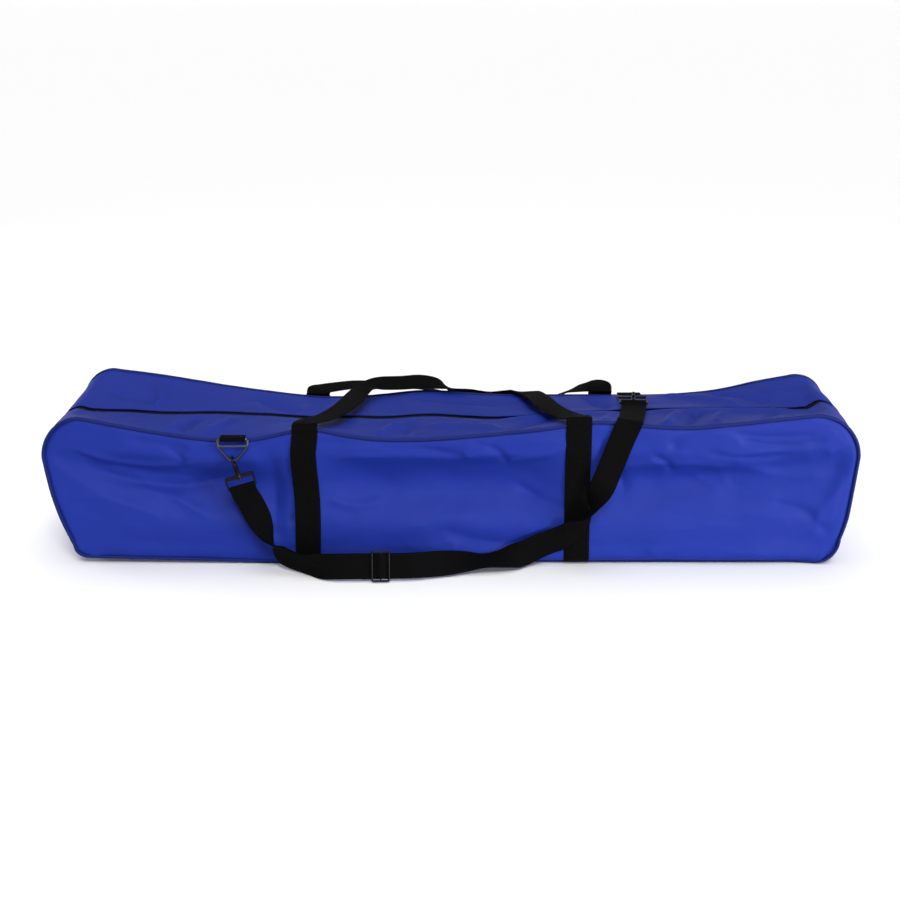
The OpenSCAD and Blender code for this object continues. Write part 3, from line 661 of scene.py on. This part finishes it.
# ---- gusset: both ends and the top, with the zip's slot ----
# lift, width, then x and y of each point of the crease's path
topFolds = [
    (2.6, 8, -418, -112, -412, -80, -420, -40), (-2.4, 8, -400, -104, -392, -70, -380, -30),
    (-2.4, 14, -545, 70, -500, 50, -455, 40), (2.2, 9, -470, 100, -455, 60, -460, 20),
    (1.8, 9, -365, -96, -345, -60, -330, -20), (-3, 16, -300, 84, -270, 46, -235, 26),
    (2.6, 8, -105, -100, -92, -72, -78, -40), (-2.2, 8, -70, -96, -58, -66, -62, -36),
    (2.4, 10, -30, -60, 30, -66, 70, -84), (-2.2, 14, -60, 90, 20, 76, 110, 82),
    (-2.2, 12, 90, -110, 110, -70, 150, -30), (-2.6, 9, 215, 110, 235, 60, 246, 20),
    (1.8, 8, 228, -100, 238, -60, 236, -20), (2.8, 8, 320, -110, 332, -70, 350, -24),
    (-2.8, 9, 352, -108, 368, -64, 380, -20), (2.2, 8, 395, -100, 402, -66, 420, -30),
    (2.8, 12, 340, 110, 400, 60, 450, 20), (-2.6, 11, 420, 112, 462, 66, 500, 30),
    (-1.8, 9, 470, -110, 480, -70, 500, -30), (2.4, 12, 500, 100, 520, 60, 560, 46),
]
# the same with z and y
endFolds = [
    (2.6, 12, 150, -110, 120, -50, 100, 20), (-2.6, 14, 60, -100, 80, -30, 60, 60),
    (-2.4, 10, 170, 100, 140, 50, 110, 30), (2, 12, 30, -60, 40, 20, 30, 90),
]
# the same measures as in panelCloth
gussetCloth = {"broad": (58, 2, 1.5), "small": (25, 9, 0.6), "long": (84, 4, 1.8), "short": (44, 8, 0.9),
               "patches": (120, 7), "seam": (2.4, 4.5, 0.3, 7.5), "calm": 26}
# the back cloth rolls forward and up over the zip between two x, and the front cloth's lip stands up to it,
# but less beside the ring's tab and the slider
zipCover = {"from": 60, "to": 556, "reach": 15.5, "rise": 4, "lip": 4.5, "tab": 284, "slider": 512}
gussetLines = [inset(key, shell["gussetInset"]) for key in ("front", "mid", "back")]


def gussetPlace(t, y):
    # distance along the outline and y, bent over the bag from the front seam past the zip to the back seam
    half, slot = shell["sewn"], shell["slot"]
    front, mid, back = (along(line, t) for line in gussetLines)
    w = np.clip((half - np.abs(y)) / (half - slot), 0, 1)
    side = np.where((y < 0)[..., None], front, back)
    p = side + (mid - side) * np.clip(w + 0.1 * np.sin(pi * w), 0, 1.02)[..., None]
    n = unit(along(normals["mid"], t))
    x, z = p[..., 0], p[..., 1]
    c = gussetCloth
    top = ease((z - 150) / 45)
    rim = half - np.abs(y)
    offSlot = ease((np.abs(y) - slot) / 16)
    inside = ease(rim / c["calm"])
    flat = joined(x, y, z)
    lift = creaseField(joined(x, y), topFolds) * top
    lift += creaseField(joined(z, y), endFolds) * (1 - top)
    lift = lift * inside * (1 - top * (1 - offSlot))
    noisy = grain(flat, *c["broad"]) + grain(flat * [1, 0.7, 1], *c["small"])
    lift += noisy * inside * (0.35 + 0.65 * offSlot)
    cross = joined(x, y * 0.3 + 0.3 * x, z)
    patches = ease(grain(flat, *c["patches"]) * 1.6 + 0.4)
    ridges = wrinkles(cross, *c["long"]) + wrinkles(cross, *c["short"])
    lift += ridges * inside * patches * (0.2 + 0.8 * offSlot)
    # the ends bulge
    lift += 3.2 * np.sin(pi * np.clip(rim / half, 0, 1)) * (1 - top)
    dip, pucker = seamPull(rim, t, flat, *c["seam"])
    move = (lift - dip + pucker) * np.clip(z / 12, 0, 1)
    out = joined(x + n[..., 0] * move, y, z + n[..., 1] * move)
    c = zipCover
    cover = ease((x - c["from"]) / 60) * ease((c["to"] - x) / 60)
    lip = cover * (1 - hump(x, c["tab"], 40)) * hump(np.abs(y), slot + 3, 16) * (y < 0)
    cover = cover * (1 - 0.75 * hump(x, c["tab"], 34)) * (1 - 0.8 * hump(x, c["slider"], 30))
    roll = cover * hump(np.abs(y), slot + 4, 12) * (y > 0)
    out[..., 1] -= roll * c["reach"]
    out[..., 2] += roll * c["rise"] + lip * c["lip"]
    return settle(out), joined(t, y)


# in x: where the zip's slot closes, the ends of the bag's mouth, where the cloth beyond stays still, clear
# of the zip pull, and the ends of each flap's middle piece
mouth = {"slot": (-590, 592), "ends": 490, "still": 468, "middle": 300}


def slotEnd(x):
    half = (frontLine[:, 0] * x > 0) & (midLine[:, 1] > shell["start"])
    return np.interp(x, midLine[half, 0], lineAt[half])


slotFrom, slotTo = (slotEnd(x) for x in mouth["slot"])
mouthFrom, mouthTo = topT(-mouth["ends"]), topT(mouth["ends"])
middleFrom, middleTo = topT(-mouth["middle"]), topT(mouth["middle"])
spans = (("Left", mouthFrom, middleFrom), ("Middle", middleFrom, middleTo), ("Right", middleTo, mouthTo))


def spaced(start, end, step, marks=()):
    # even stations about a step apart, with one on each mark
    points = [start] + [m for m in marks if start < m < end] + [end]
    out = [start]
    for a, b in zip(points[:-1], points[1:]):
        n = max(1, int(round(abs(b - a) / step)))
        out += list(np.linspace(a, b, n + 1)[1:])
    return np.array(out)


halfYs = spaced(-shell["sewn"], -shell["slot"], 4)
acrossYs = np.concatenate([halfYs, [-4.5, 0, 4.5], -halfYs[::-1]])


def endCloth(name, fromT, toT, slotT, nodes):
    def keep(t0, t1, y0, y1):
        # the slot runs from slotT towards the middle of the bag
        inSlot = ((t0 + t1) / 2 - slotT) * (lineAt[-1] / 2 - slotT) > 0
        return not (inSlot and abs((y0 + y1) / 2) < shell["slot"])

    bm = bentGrid(spaced(fromT, toT, 4, [slotT]), acrossYs, gussetPlace, keep=keep)
    bmesh.ops.delete(bm, geom=[v for v in bm.verts if not v.link_faces], context="VERTS")
    sewnSheet(finishMesh(bm, name, clothMat, "bag", nodes), "frontPiping", "backPiping")


def flapBlends(body):
    # the bend of a flap's left, middle and right pieces, from the still bag to the moving flap, in m;
    # finishMesh bakes any piece given these in place, so none of them bends
    side = -1 if body.startswith("front") else 1
    left, right = (("bag", body, (end * mouth["still"] * mm, 0, 0.2), (end * mouth["middle"] * mm, 0, 0.2))
                   for end in (-1, 1))
    middle = ("bag", body, (0, side * 0.125, 0.2), (0, side * 0.107, 0.2))
    return left, middle, right


print("gusset and flaps")
for side, ends, slotT in (("left", (0, mouthFrom), slotFrom), ("right", (mouthTo, lineAt[-1]), slotTo)):
    endCloth(side + "EndCloth", *ends, slotT, [side + "_end", "top_gusset"])
for side, ys in (("front", halfYs), ("back", -halfYs[::-1])):
    for (label, fromT, toT), bend in zip(spans, flapBlends(side + "_flap")):
        flapBm = bentGrid(spaced(fromT, toT, 4), ys, gussetPlace)
        flap = finishMesh(flapBm, side + "Top" + label, clothMat, bend, [side + "_flap"])
        sewnSheet(flap, side + "Piping")


def basePlace(x, y):
    # nearly flat, and seen only from below
    z = 0.6 + 0.5 * grain(joined(x, y, 0), 50) * ease((shell["sewn"] - np.abs(y)) / 20)
    return settle(joined(x, y, z)), joined(x, y)


baseBm = bentGrid(spaced(-548, 550, 8), spaced(-shell["sewn"], shell["sewn"], 8), basePlace, flip=True)
base = finishMesh(baseBm, "baseCloth", clothMat, "bag", ["base_panel"])
sewnSheet(base, "frontPiping", "backPiping")


# ---- piping ----
def tubeRing(path, radius, segments, axis):
    # round section swept along a closed path that lies square to the axis
    tangent = unit(np.roll(path, -1, 0) - np.roll(path, 1, 0))
    path, tangent = np.vstack([path, path[:1]]), np.vstack([tangent, tangent[:1]])
    side = unit(np.cross(tangent, axis))
    up = np.cross(side, tangent)
    length = lengths(path)

    def place(i, a):
        k = i.astype(int)
        p = path[k] + (side[k] * np.cos(a)[:, None] + up[k] * np.sin(a)[:, None]) * radius
        return p, joined(length[k], a * radius)

    return bentGrid(np.arange(len(path)), np.linspace(0, 2 * pi, segments + 1), place, closed=True)


print("piping")
pipingRun = {"stations": 700, "segments": 12, "wobble": (45, 4, 0.25)}
for key, y in (("front", -shell["sewn"]), ("back", shell["sewn"])):
    core = lines[key] - normals[key] * shell["piping"]
    ring = np.vstack([core, np.linspace(core[-1], core[0], 60)[1:]])
    step = lengths(ring)
    x, z = between(np.linspace(0, step[-1], pipingRun["stations"])[:-1], step, ring).T
    path = joined(x, y, z)
    # straight near the ground
    path = settle(path + (grain(path, *pipingRun["wobble"]) * (z > 20))[:, None])
    pipeBm = tubeRing(path, shell["pipingShown"], pipingRun["segments"], (0, 1, 0))
    bmesh.ops.recalc_face_normals(pipeBm, faces=pipeBm.faces)
    # the piping's darker cloth is painted shade
    finishMesh(pipeBm, key + "Piping", pipingShadedMat, "bag", [key + "_piping"])


# ---- webbing ----
# widths and thicknesses; the thread's radius, the pitch of its stitches, and how much of each shows
tape = {"width": 38, "thick": 1.6, "strapThick": 1.4, "thread": 0.28, "stitch": 3.4, "shown": 2.448}


def ribbonFrames(rows, steps):
    # rows of place and facing, made smooth: places, and directions across the webbing and out of its face
    path = smoothRows(rows, steps)
    centre = path[:, :3]
    tangent = unit(np.gradient(centre, axis=0))
    across = unit(np.cross(path[:, 3:6], tangent))
    return centre, across, unit(np.cross(tangent, across))


def ribbon(rows, steps, width=tape["width"], thick=tape["thick"], lift=0.0, bow=0.0):
    centre, across, face = ribbonFrames(rows, steps)
    centre = centre + face * np.broadcast_to(lift, (len(centre),))[:, None]
    length = lengths(centre)
    # section from edge to edge over the top and back under
    spots = np.array([-1, -0.97, -0.9, -0.75, -0.5, -0.25, 0, 0.25, 0.5, 0.75, 0.9, 0.97, 1])
    heights = np.array([0, 0.62, 0.92, 1, 1, 1, 1, 1, 1, 1, 0.92, 0.62, 0])
    a = np.concatenate([spots, spots[-2::-1]]) * width / 2
    h = np.concatenate([heights, -heights[-2::-1]]) * thick / 2

    def place(i, k):
        i, k = i.astype(int), k.astype(int)
        curve = bow * (1 - (a[k] / width * 2) ** 2)
        p = centre[i] + across[i] * a[k][:, None] + face[i] * (h[k] + curve)[:, None]
        return p, joined(length[i], a[k])

    bm = bentGrid(np.arange(len(centre)), np.arange(len(a)), place, closed=True)
    bmesh.ops.holes_fill(bm, edges=bm.edges, sides=0)
    bmesh.ops.recalc_face_normals(bm, faces=bm.faces)
    return bm


def webbingPiece(rows, steps, name, body, nodes=(), **section):
    finishMesh(ribbon(rows, steps, **section), name, webbingMat, body, nodes)


def pills(points, directions, faces, radius, long):
    # one small pill of thread at each point
    bm = bmesh.new()
    bmesh.ops.create_uvsphere(bm, u_segments=6, v_segments=4, radius=1)
    pill = bpy.data.meshes.new("pill")
    bm.to_mesh(pill)
    shape = np.array([v.co[:] for v in bm.verts])
    for _ in range(len(points) - 1):
        bm.from_mesh(pill)
    side = np.cross(directions, faces)
    spots = (points[:, None, :] + shape[None, :, 2:3] * directions[:, None, :] * long / 2
             + shape[None, :, 0:1] * side[:, None, :] * radius
             + shape[None, :, 1:2] * faces[:, None, :] * radius).reshape(-1, 3)
    for v, p in zip(bm.verts, spots):
        v.co = p * mm
    bpy.data.meshes.remove(pill)
    bmesh.ops.recalc_face_normals(bm, faces=bm.faces)
    return bm


def threadRow(path, faces):
    # spots one stitch apart along a path, with directions and face normals
    length = lengths(path)
    t = np.arange(tape["stitch"] / 2, length[-1], tape["stitch"])
    ahead, behind = between(t + 0.5, length, path), between(t - 0.5, length, path)
    return between(t, length, path), unit(ahead - behind), unit(between(t, length, faces))


# vertices of the finished panels in mm
clothAt = {side: np.array([v.co[:] for v in bpy.data.objects[name].data.vertices]) / mm
           for side, name in ((-1, "frontCloth"), (1, "backCloth"))}


def clothDepth(x, z, side):
    # depth of the panel under x and z, from its nearest vertices
    co = clothAt[side]
    d = np.hypot(co[:, 0] - x, co[:, 2] - z)
    near = np.argsort(d)[:4]
    return float(np.average(np.abs(co[near, 1]), weights=1 / (d[near] + 0.5)))


# x, side of the bag, y and z of the handle's root
webs = {"front_left": (-214, -1, -123.3, 218.3), "front_right": (190, -1, -123.3, 229.4),
        "back_left": (-214, 1, 123.3, 200.6), "back_right": (243, 1, 123.3, 204.4)}


def panelWeb(key):
    # up over the finished cloth, round the piping and on to the handle's root
    x, side, rootY, rootZ = webs[key]
    seam = np.interp(x, seamTops[:, 0], seamTops[:, 1 if side < 0 else 2])
    rows = []
    for z in (0.8, 4, 9, 18, 32, 48, 66, 86, 106, 126, 146, 164, 178):
        if z > seam - 16:
            continue
        depth = max(clothDepth(x + dx, z, side) for dx in (-17, -8, 0, 8, 17))
        # only the front left one leans
        sway = 1.8 * sin(pi * min(1, z / 150)) - 3 * ease((z - 60) / 120) if key == "front_left" else 0
        rows.append([x + sway, side * (depth + 0.9), z, 0, side, 0])
    rows.append([x, side * 125.9, seam - 10, 0, side, 0])
    reach = shell["piping"] + 0.95
    for a in (10, 40, 70, 90):
        out, up = cos(radians(a)), sin(radians(a))
        rise = (rootZ - seam - 1) * (a / 90) ** 2
        rows.append([x, side * (shell["sewn"] + reach * out), seam - shell["piping"] + reach * up + rise,
                     0, side * out, up])
    rows[-1][1:3] = [rootY - side * 0.3, rootZ]
    return rows


# steps between rows; the thread's height over the middle of the webbing and its distance from the edges;
# stations from the handle's root that stay free of thread; stations in the stitched box
sewing = {"steps": 5, "height": 0.85, "margin": 3, "free": 22, "box": 8}
print("webbing")
for key in webs:
    rows = panelWeb(key)
    name = key.replace("_", "")
    webbingPiece(rows, sewing["steps"], name + "Webbing", "bag", [key + "_webbing"])
    centre, across, face = ribbonFrames(rows, sewing["steps"])
    count = len(centre) - sewing["free"]
    centre, across, face = centre[:count], across[:count], face[:count]
    edges = [centre + across * edge * (tape["width"] / 2 - sewing["margin"]) + face * sewing["height"]
             for edge in (-1, 1)]
    seam = [threadRow(path, face) for path in edges]
    # a box with a cross takes the handle's pull
    foot = max(0, count - 1 - sewing["box"])
    (low0, top0), (low1, top1) = ((path[foot], path[-1]) for path in edges)
    for start, end in ((low0, low1), (low0, top1), (low1, top0), (top0, top1)):
        seam.append(threadRow(np.linspace(start, end, 12), np.repeat(face[foot:foot + 1], 12, 0)))
    points, directions, faces = [np.vstack([row[k] for row in seam]) for k in range(3)]
    finishMesh(pills(points, directions, faces, tape["thread"], tape["shown"]), name + "Stitches",
               blackThread, "bag")

print("handles and strap")
# rows of place and facing
handles = {
    "front_handle": [
        [-214, -123.3, 218.3, -0.02, 0, 1], [-214, -118, 219.2, -0.02, 0, 1], [-211, -107, 219, 0, 0, 1],
        [-202, -92, 217.6, 0, 0, 1], [-189, -74, 216, 0, 0, 1], [-174, -40, 215, 0, 0, 1],
        [-163, -8, 214.8, 0, 0, 1], [-154, 32, 214.4, 0, 0, 1], [-147, 70, 214.6, -0.05, 0, 1],
        [-137, 98, 217, -0.15, -0.2, 1], [-116, 117, 219, -0.05, -0.35, 0.93],
        [-80, 124, 218.5, 0, -0.37, 0.93], [-47, 126, 220, 0, -0.37, 0.93], [-18, 128, 216, 0, -0.2, 1],
        [2, 131, 206, 0, 0.3, 0.95], [28, 136.5, 191, 0, 0.9, 0.43], [62, 137, 183, 0, 1, 0.2],
        [90, 136, 188, 0, 0.9, 0.4], [113, 130, 199, 0, 0.6, 0.8], [126, 111, 206.5, 0, 0.05, 1],
        [134, 83, 210, 0, 0, 1], [141, 48, 213.2, 0, 0, 1], [149, 8, 214.6, 0, 0, 1],
        [161, -27, 215, 0, 0, 1], [174, -58, 216.6, -0.03, 0, 1], [184, -88, 221, -0.05, 0, 1],
        [189, -108, 227, -0.05, 0, 1], [190, -118, 229.1, -0.02, 0, 1], [190, -123.3, 229.4, -0.02, 0, 1]],
    "back_handle": [
        [-213, 123.3, 200.6, 0, 0, 1], [-213, 130, 204.4, 0, -0.55, 0.8], [-208, 138, 204.6, 0, -0.2, 1],
        [-190, 143, 206.4, 0, -0.15, 1], [-150, 146, 210, 0, -0.1, 1], [-100, 148, 208, 0, 0, 1],
        [-50, 156, 202, 0, 0.1, 1], [0, 169, 188.5, 0, 0.1, 1], [40, 177, 177, 0, 0.1, 1],
        [80, 188, 168, 0, 0.1, 1], [130, 188, 168, 0, 0.1, 1], [172, 170, 183, 0, 0.1, 1],
        [198, 152, 199, 0, 0, 1], [220, 146, 205.6, 0, -0.15, 1], [236, 142, 209.4, 0, -0.3, 0.9],
        [243, 134.5, 210.6, 0, -0.4, 0.9], [243, 127.8, 208, 0, -0.6, 0.8],
        [243, 123.3, 204.4, 0, -0.6, 0.8]],
}
# the y in m beside each handle's sewn roots, between which it would bend; finishMesh bakes the handle in
# place, unbent
handleBend = {"front_handle": (-0.1233, -0.106), "back_handle": (0.1233, 0.138)}
for node, rows in handles.items():
    start, end = handleBend[node]
    bend = ("bag", node, (0, start, 0.2), (0, end, 0.2))
    webbingPiece(rows, 8, node.replace("_h", "H"), bend, [node], bow=0.5)

# rows of place and facing along the strap and its turned-back right end; the second layer, from the left
# loop to the adjuster, follows the first rows, lifted off them, and comes down within the first few
strap = {
    "route": [
        [-306.5, -130.7, 123.6, 0, -1, 0], [-304, -130.9, 115.4, 0, -1, 0], [-297, -133, 104, 0.1, -1, 0],
        [-287, -138, 85, 0.35, -0.95, 0.1], [-277, -144.5, 64, 0.75, -0.6, 0.35],
        [-268, -149.5, 46, 0.85, 0, 0.5], [-249, -157, 27, 0.3, 0.85, 0.4],
        [-217, -172, 18.5, 0, 0.9, 0.35], [-188, -185, 20.2, 0, 0.95, -0.2],
        [-160, -191, 22.5, 0, 0.95, -0.3], [-105, -189.3, 22.5, 0, 0.95, -0.3],
        [-78, -188.4, 22.5, 0, 0.95, -0.3], [-52, -186.5, 22.5, 0, 0.95, -0.3],
        [-15, -172, 20, 0, 0.9, -0.45], [22, -155, 17, 0, 0.6, -0.85], [52, -150, 16, 0, 0.25, -1],
        [82, -145, 18, 0, 0.5, -0.9], [110, -135, 22, 0, 0.95, -0.2], [140, -131.5, 35.5, 0, 1, 0],
        [170, -133, 48.5, -0.1, 1, 0], [193, -138, 70, -0.5, 0.85, 0.2], [208.5, -146, 93, -0.95, 0, 0.3],
        [219, -142, 116, -0.6, -0.8, 0.2], [231, -134, 140, 0, -1, 0.1], [241, -131, 165, 0, -1, 0],
        [250, -129.5, 190, 0, -1, 0], [257, -129, 208, 0, -1, 0.05], [261, -129, 217.5, 0.02, -1, 0.2],
        [263.5, -127.4, 223.4, 0.05, -0.7, 0.7], [265.5, -122.5, 226, 0.08, -0.1, 1],
        [270, -95, 222.6, 0.06, 0.1, 1], [277, -50, 218, 0, 0.1, 1], [282, -15, 215.5, 0, 0.05, 1],
        [284, 0, 215, 0, 0, 1], [284.8, 10.2, 217.6, 0, -0.04, 1]],
    "hem": [
        [284.8, 10.2, 212, 0, 0.09, 1], [283.9, 0, 212.9, 0, 0.06, 1], [282, -15, 213.9, 0, 0.06, 1],
        [279.3, -34, 215, 0, 0.08, 1]],
    "returnRows": 11, "returnLift": (5.6, 1.7), "returnDown": (0, 2.25), "steps": 8,
}
strapRun = {"thick": tape["strapThick"], "steps": strap["steps"]}
webbingPiece(strap["route"], name="shoulderStrap", body="strap", nodes=["shoulder_strap"], **strapRun)
returnAt = np.arange((strap["returnRows"] - 1) * strap["steps"] + 1) / strap["steps"]
webbingPiece(strap["route"][:strap["returnRows"]], name="strapReturn", body="strap", nodes=["strap_return"],
             lift=np.interp(returnAt, strap["returnDown"], strap["returnLift"]), **strapRun)
webbingPiece(strap["hem"], name="strapHem", body="strap", nodes=["strap_hem"], **strapRun)


def placed(rows, spot, turns):
    # rows of place and facing, turned about each named axis by degrees and moved to spot
    turn = Matrix.Identity(3)
    for axis, angle in turns:
        turn = Matrix.Rotation(radians(angle), 3, axis) @ turn
    return [[*(turn @ Vector(row[:3]) + Vector(spot)), *(turn @ Vector(row[3:]))] for row in rows]


def bendRows(radius, angles, z=0):
    # rows round a bar along x
    spokes = [(cos(radians(a)), sin(radians(a))) for a in angles]
    return [[0, radius * out, z + radius * up, 0, out, up] for out, up in spokes]


# webbing tabs sewn into the bag, folded round the rings' bars
tabs = {"turn": 2.65, "thick": 1.5, "steps": 4,
        "left": ((-320, -130, 198.6), range(90, 300, 30),
                 [[0, 13, 2.4, 0, 0, 1], [0, 7, 2.6, 0, 0, 1], [0, 3, 2.65, 0, 0, 1]]),
        "right": ((289, 86, 206), range(-90, -300, -30),
                  [[0, 39, -4.4, 0, 0.05, -1], [0, 26, -3.9, 0, 0.05, -1], [0, 12, -3.2, 0, 0.05, -1]])}
# webbing folded over the strap loops' bars
fold = {"turn": 2.8, "bar": -42.3, "legs": (4.2, 2), "steps": 4,
        "left": ((-320, -133.51, 167.8), (("Y", -17),)),
        "right": ((289, 55.89, 213.39), (("X", -92.3), ("Z", -5.2)))}
foldLegs = [[0, fold["turn"], fold["bar"] - leg, 0, 1, 0] for leg in fold["legs"]]
foldRows = foldLegs + bendRows(fold["turn"], range(0, 210, 30), fold["bar"])
foldRows += [[0, -row[1], row[2], 0, -1, 0] for row in foldLegs[::-1]]
for side in ("left", "right"):
    spot, angles, sewn = tabs[side]
    webbingPiece(placed(sewn + bendRows(tabs["turn"], angles), spot, ()), tabs["steps"], side + "RingTab",
                 "bag", [side + "_ring_tab"], thick=tabs["thick"])
for side in ("left", "right"):
    webbingPiece(placed(foldRows, *fold[side]), fold["steps"], side + "StrapFold", "strap",
                 [side + "_strap_fold"], thick=tape["strapThick"])

# the strap rises over the adjuster's middle bar and goes under its ends
adjust = {"at": (-102, -189.3, 22.5), "turns": (("X", 72.5), ("Z", 1.8)), "level": 2.6, "width": 37,
          "steps": 4, "rise": ((-11.6, -1.75), (-9.5, -1.6), (-6.5, -0.6), (-3, 1.3), (0, 1.95),
                               (3, 1.3), (6.5, -0.6), (9.5, -1.6), (11.6, -1.75))}
over = [[x, 0, adjust["level"] + z, 0, 0, 1] for x, z in adjust["rise"]]
webbingPiece(placed(over, adjust["at"], adjust["turns"]), adjust["steps"], "strapOverBar", "adjuster",
             thick=tape["strapThick"], width=adjust["width"])


# ---- zip ----
# distance of the coil's middle and of the tape's rows from the zip's middle; how far a tooth leans
coil = {"middle": 1.75, "pitch": 2.6, "radius": 0.8, "long": 3.4, "lean": 0.25,
        "tape": (1.7, 6, 13), "tapeThick": 0.7, "tapeLift": 0.1}
zipPath = inset("mid", shell["zipInset"])


def tapePlace(t, y):
    p = along(zipPath, t) + unit(along(normals["mid"], t)) * coil["tapeLift"]
    return joined(p[..., 0], y, p[..., 1]), joined(t, y)


def zipPieces(name, fromT, toT, sides, body, tapeNodes, coilNodes):
    for side in sides:
        label = name + ("Front" if side < 0 else "Back")
        tapeBm = bentGrid(spaced(fromT, toT, 6), np.sort(np.array(coil["tape"]) * side), tapePlace)
        addSolidify(finishMesh(tapeBm, label + "Tape", tapeMat, body, tapeNodes), coil["tapeThick"])
        half = coil["pitch"] / 2
        at = np.linspace(fromT + half, toT - half, int((toT - fromT) / coil["pitch"]))
        if side > 0:
            at = at + half   # the back teeth fall between the front ones
        q, m = along(zipPath, at), unit(along(normals["mid"], at))
        points = joined(q[:, 0], side * coil["middle"], q[:, 1])
        lean = unit(joined(m[:, 1] * coil["lean"], 1, -m[:, 0] * coil["lean"]))
        teeth = pills(points, lean, joined(m[:, 0], 0, m[:, 1]), coil["radius"], coil["long"])
        finishMesh(teeth, label + "Coil", zipMat, body, coilNodes)


print("zip")
for side, ends in (("left", (slotFrom, mouthFrom)), ("right", (mouthTo, slotTo))):
    node = side + "_zip_end"
    zipPieces(side + "ZipEnd", *ends, (-1, 1), "bag", [node], [node])
for half, side in (("front", -1), ("back", 1)):
    body = half + "_flap"
    for (label, fromT, toT), bend in zip(spans, flapBlends(body)):
        rides = body if label == "Middle" else bend
        zipPieces("zip" + label, fromT, toT, (side,), rides, [half + "_zip_tape"], [half + "_zip_chain"])

# ---- hardware, which keeps its solids and gets its real finish ----
print("hardware")
hardware = (
    (nickelMat, ("left_ring", "right_ring")),
    (paintedMat, ("left_hook", "right_hook", "left_bolt", "right_bolt", "left_strap_loop",
                  "right_strap_loop", "strap_adjuster", "zip_slider", "zip_pull")),
)
for mat, names in hardware:
    for name in names:
        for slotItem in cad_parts[name].material_slots:
            slotItem.material = mat

print("floor")
# a round floor that turns up into a low wall, in m
room = {"radius": 60, "wall": 9, "down": 0.0006}
floorBm = bmesh.new()
bmesh.ops.create_circle(floorBm, cap_ends=True, segments=128, radius=room["radius"])
edges = [e for e in floorBm.edges if e.is_boundary]
rim = bmesh.ops.extrude_edge_only(floorBm, edges=edges)["geom"]
wallTop = [v for v in rim if isinstance(v, bmesh.types.BMVert)]
bmesh.ops.translate(floorBm, vec=(0, 0, room["wall"]), verts=wallTop)
bmesh.ops.translate(floorBm, vec=(0, 0, -room["down"]), verts=floorBm.verts)
bmesh.ops.recalc_face_normals(floorBm, faces=floorBm.faces)
makeMesh(floorBm, "floor", floorMat)
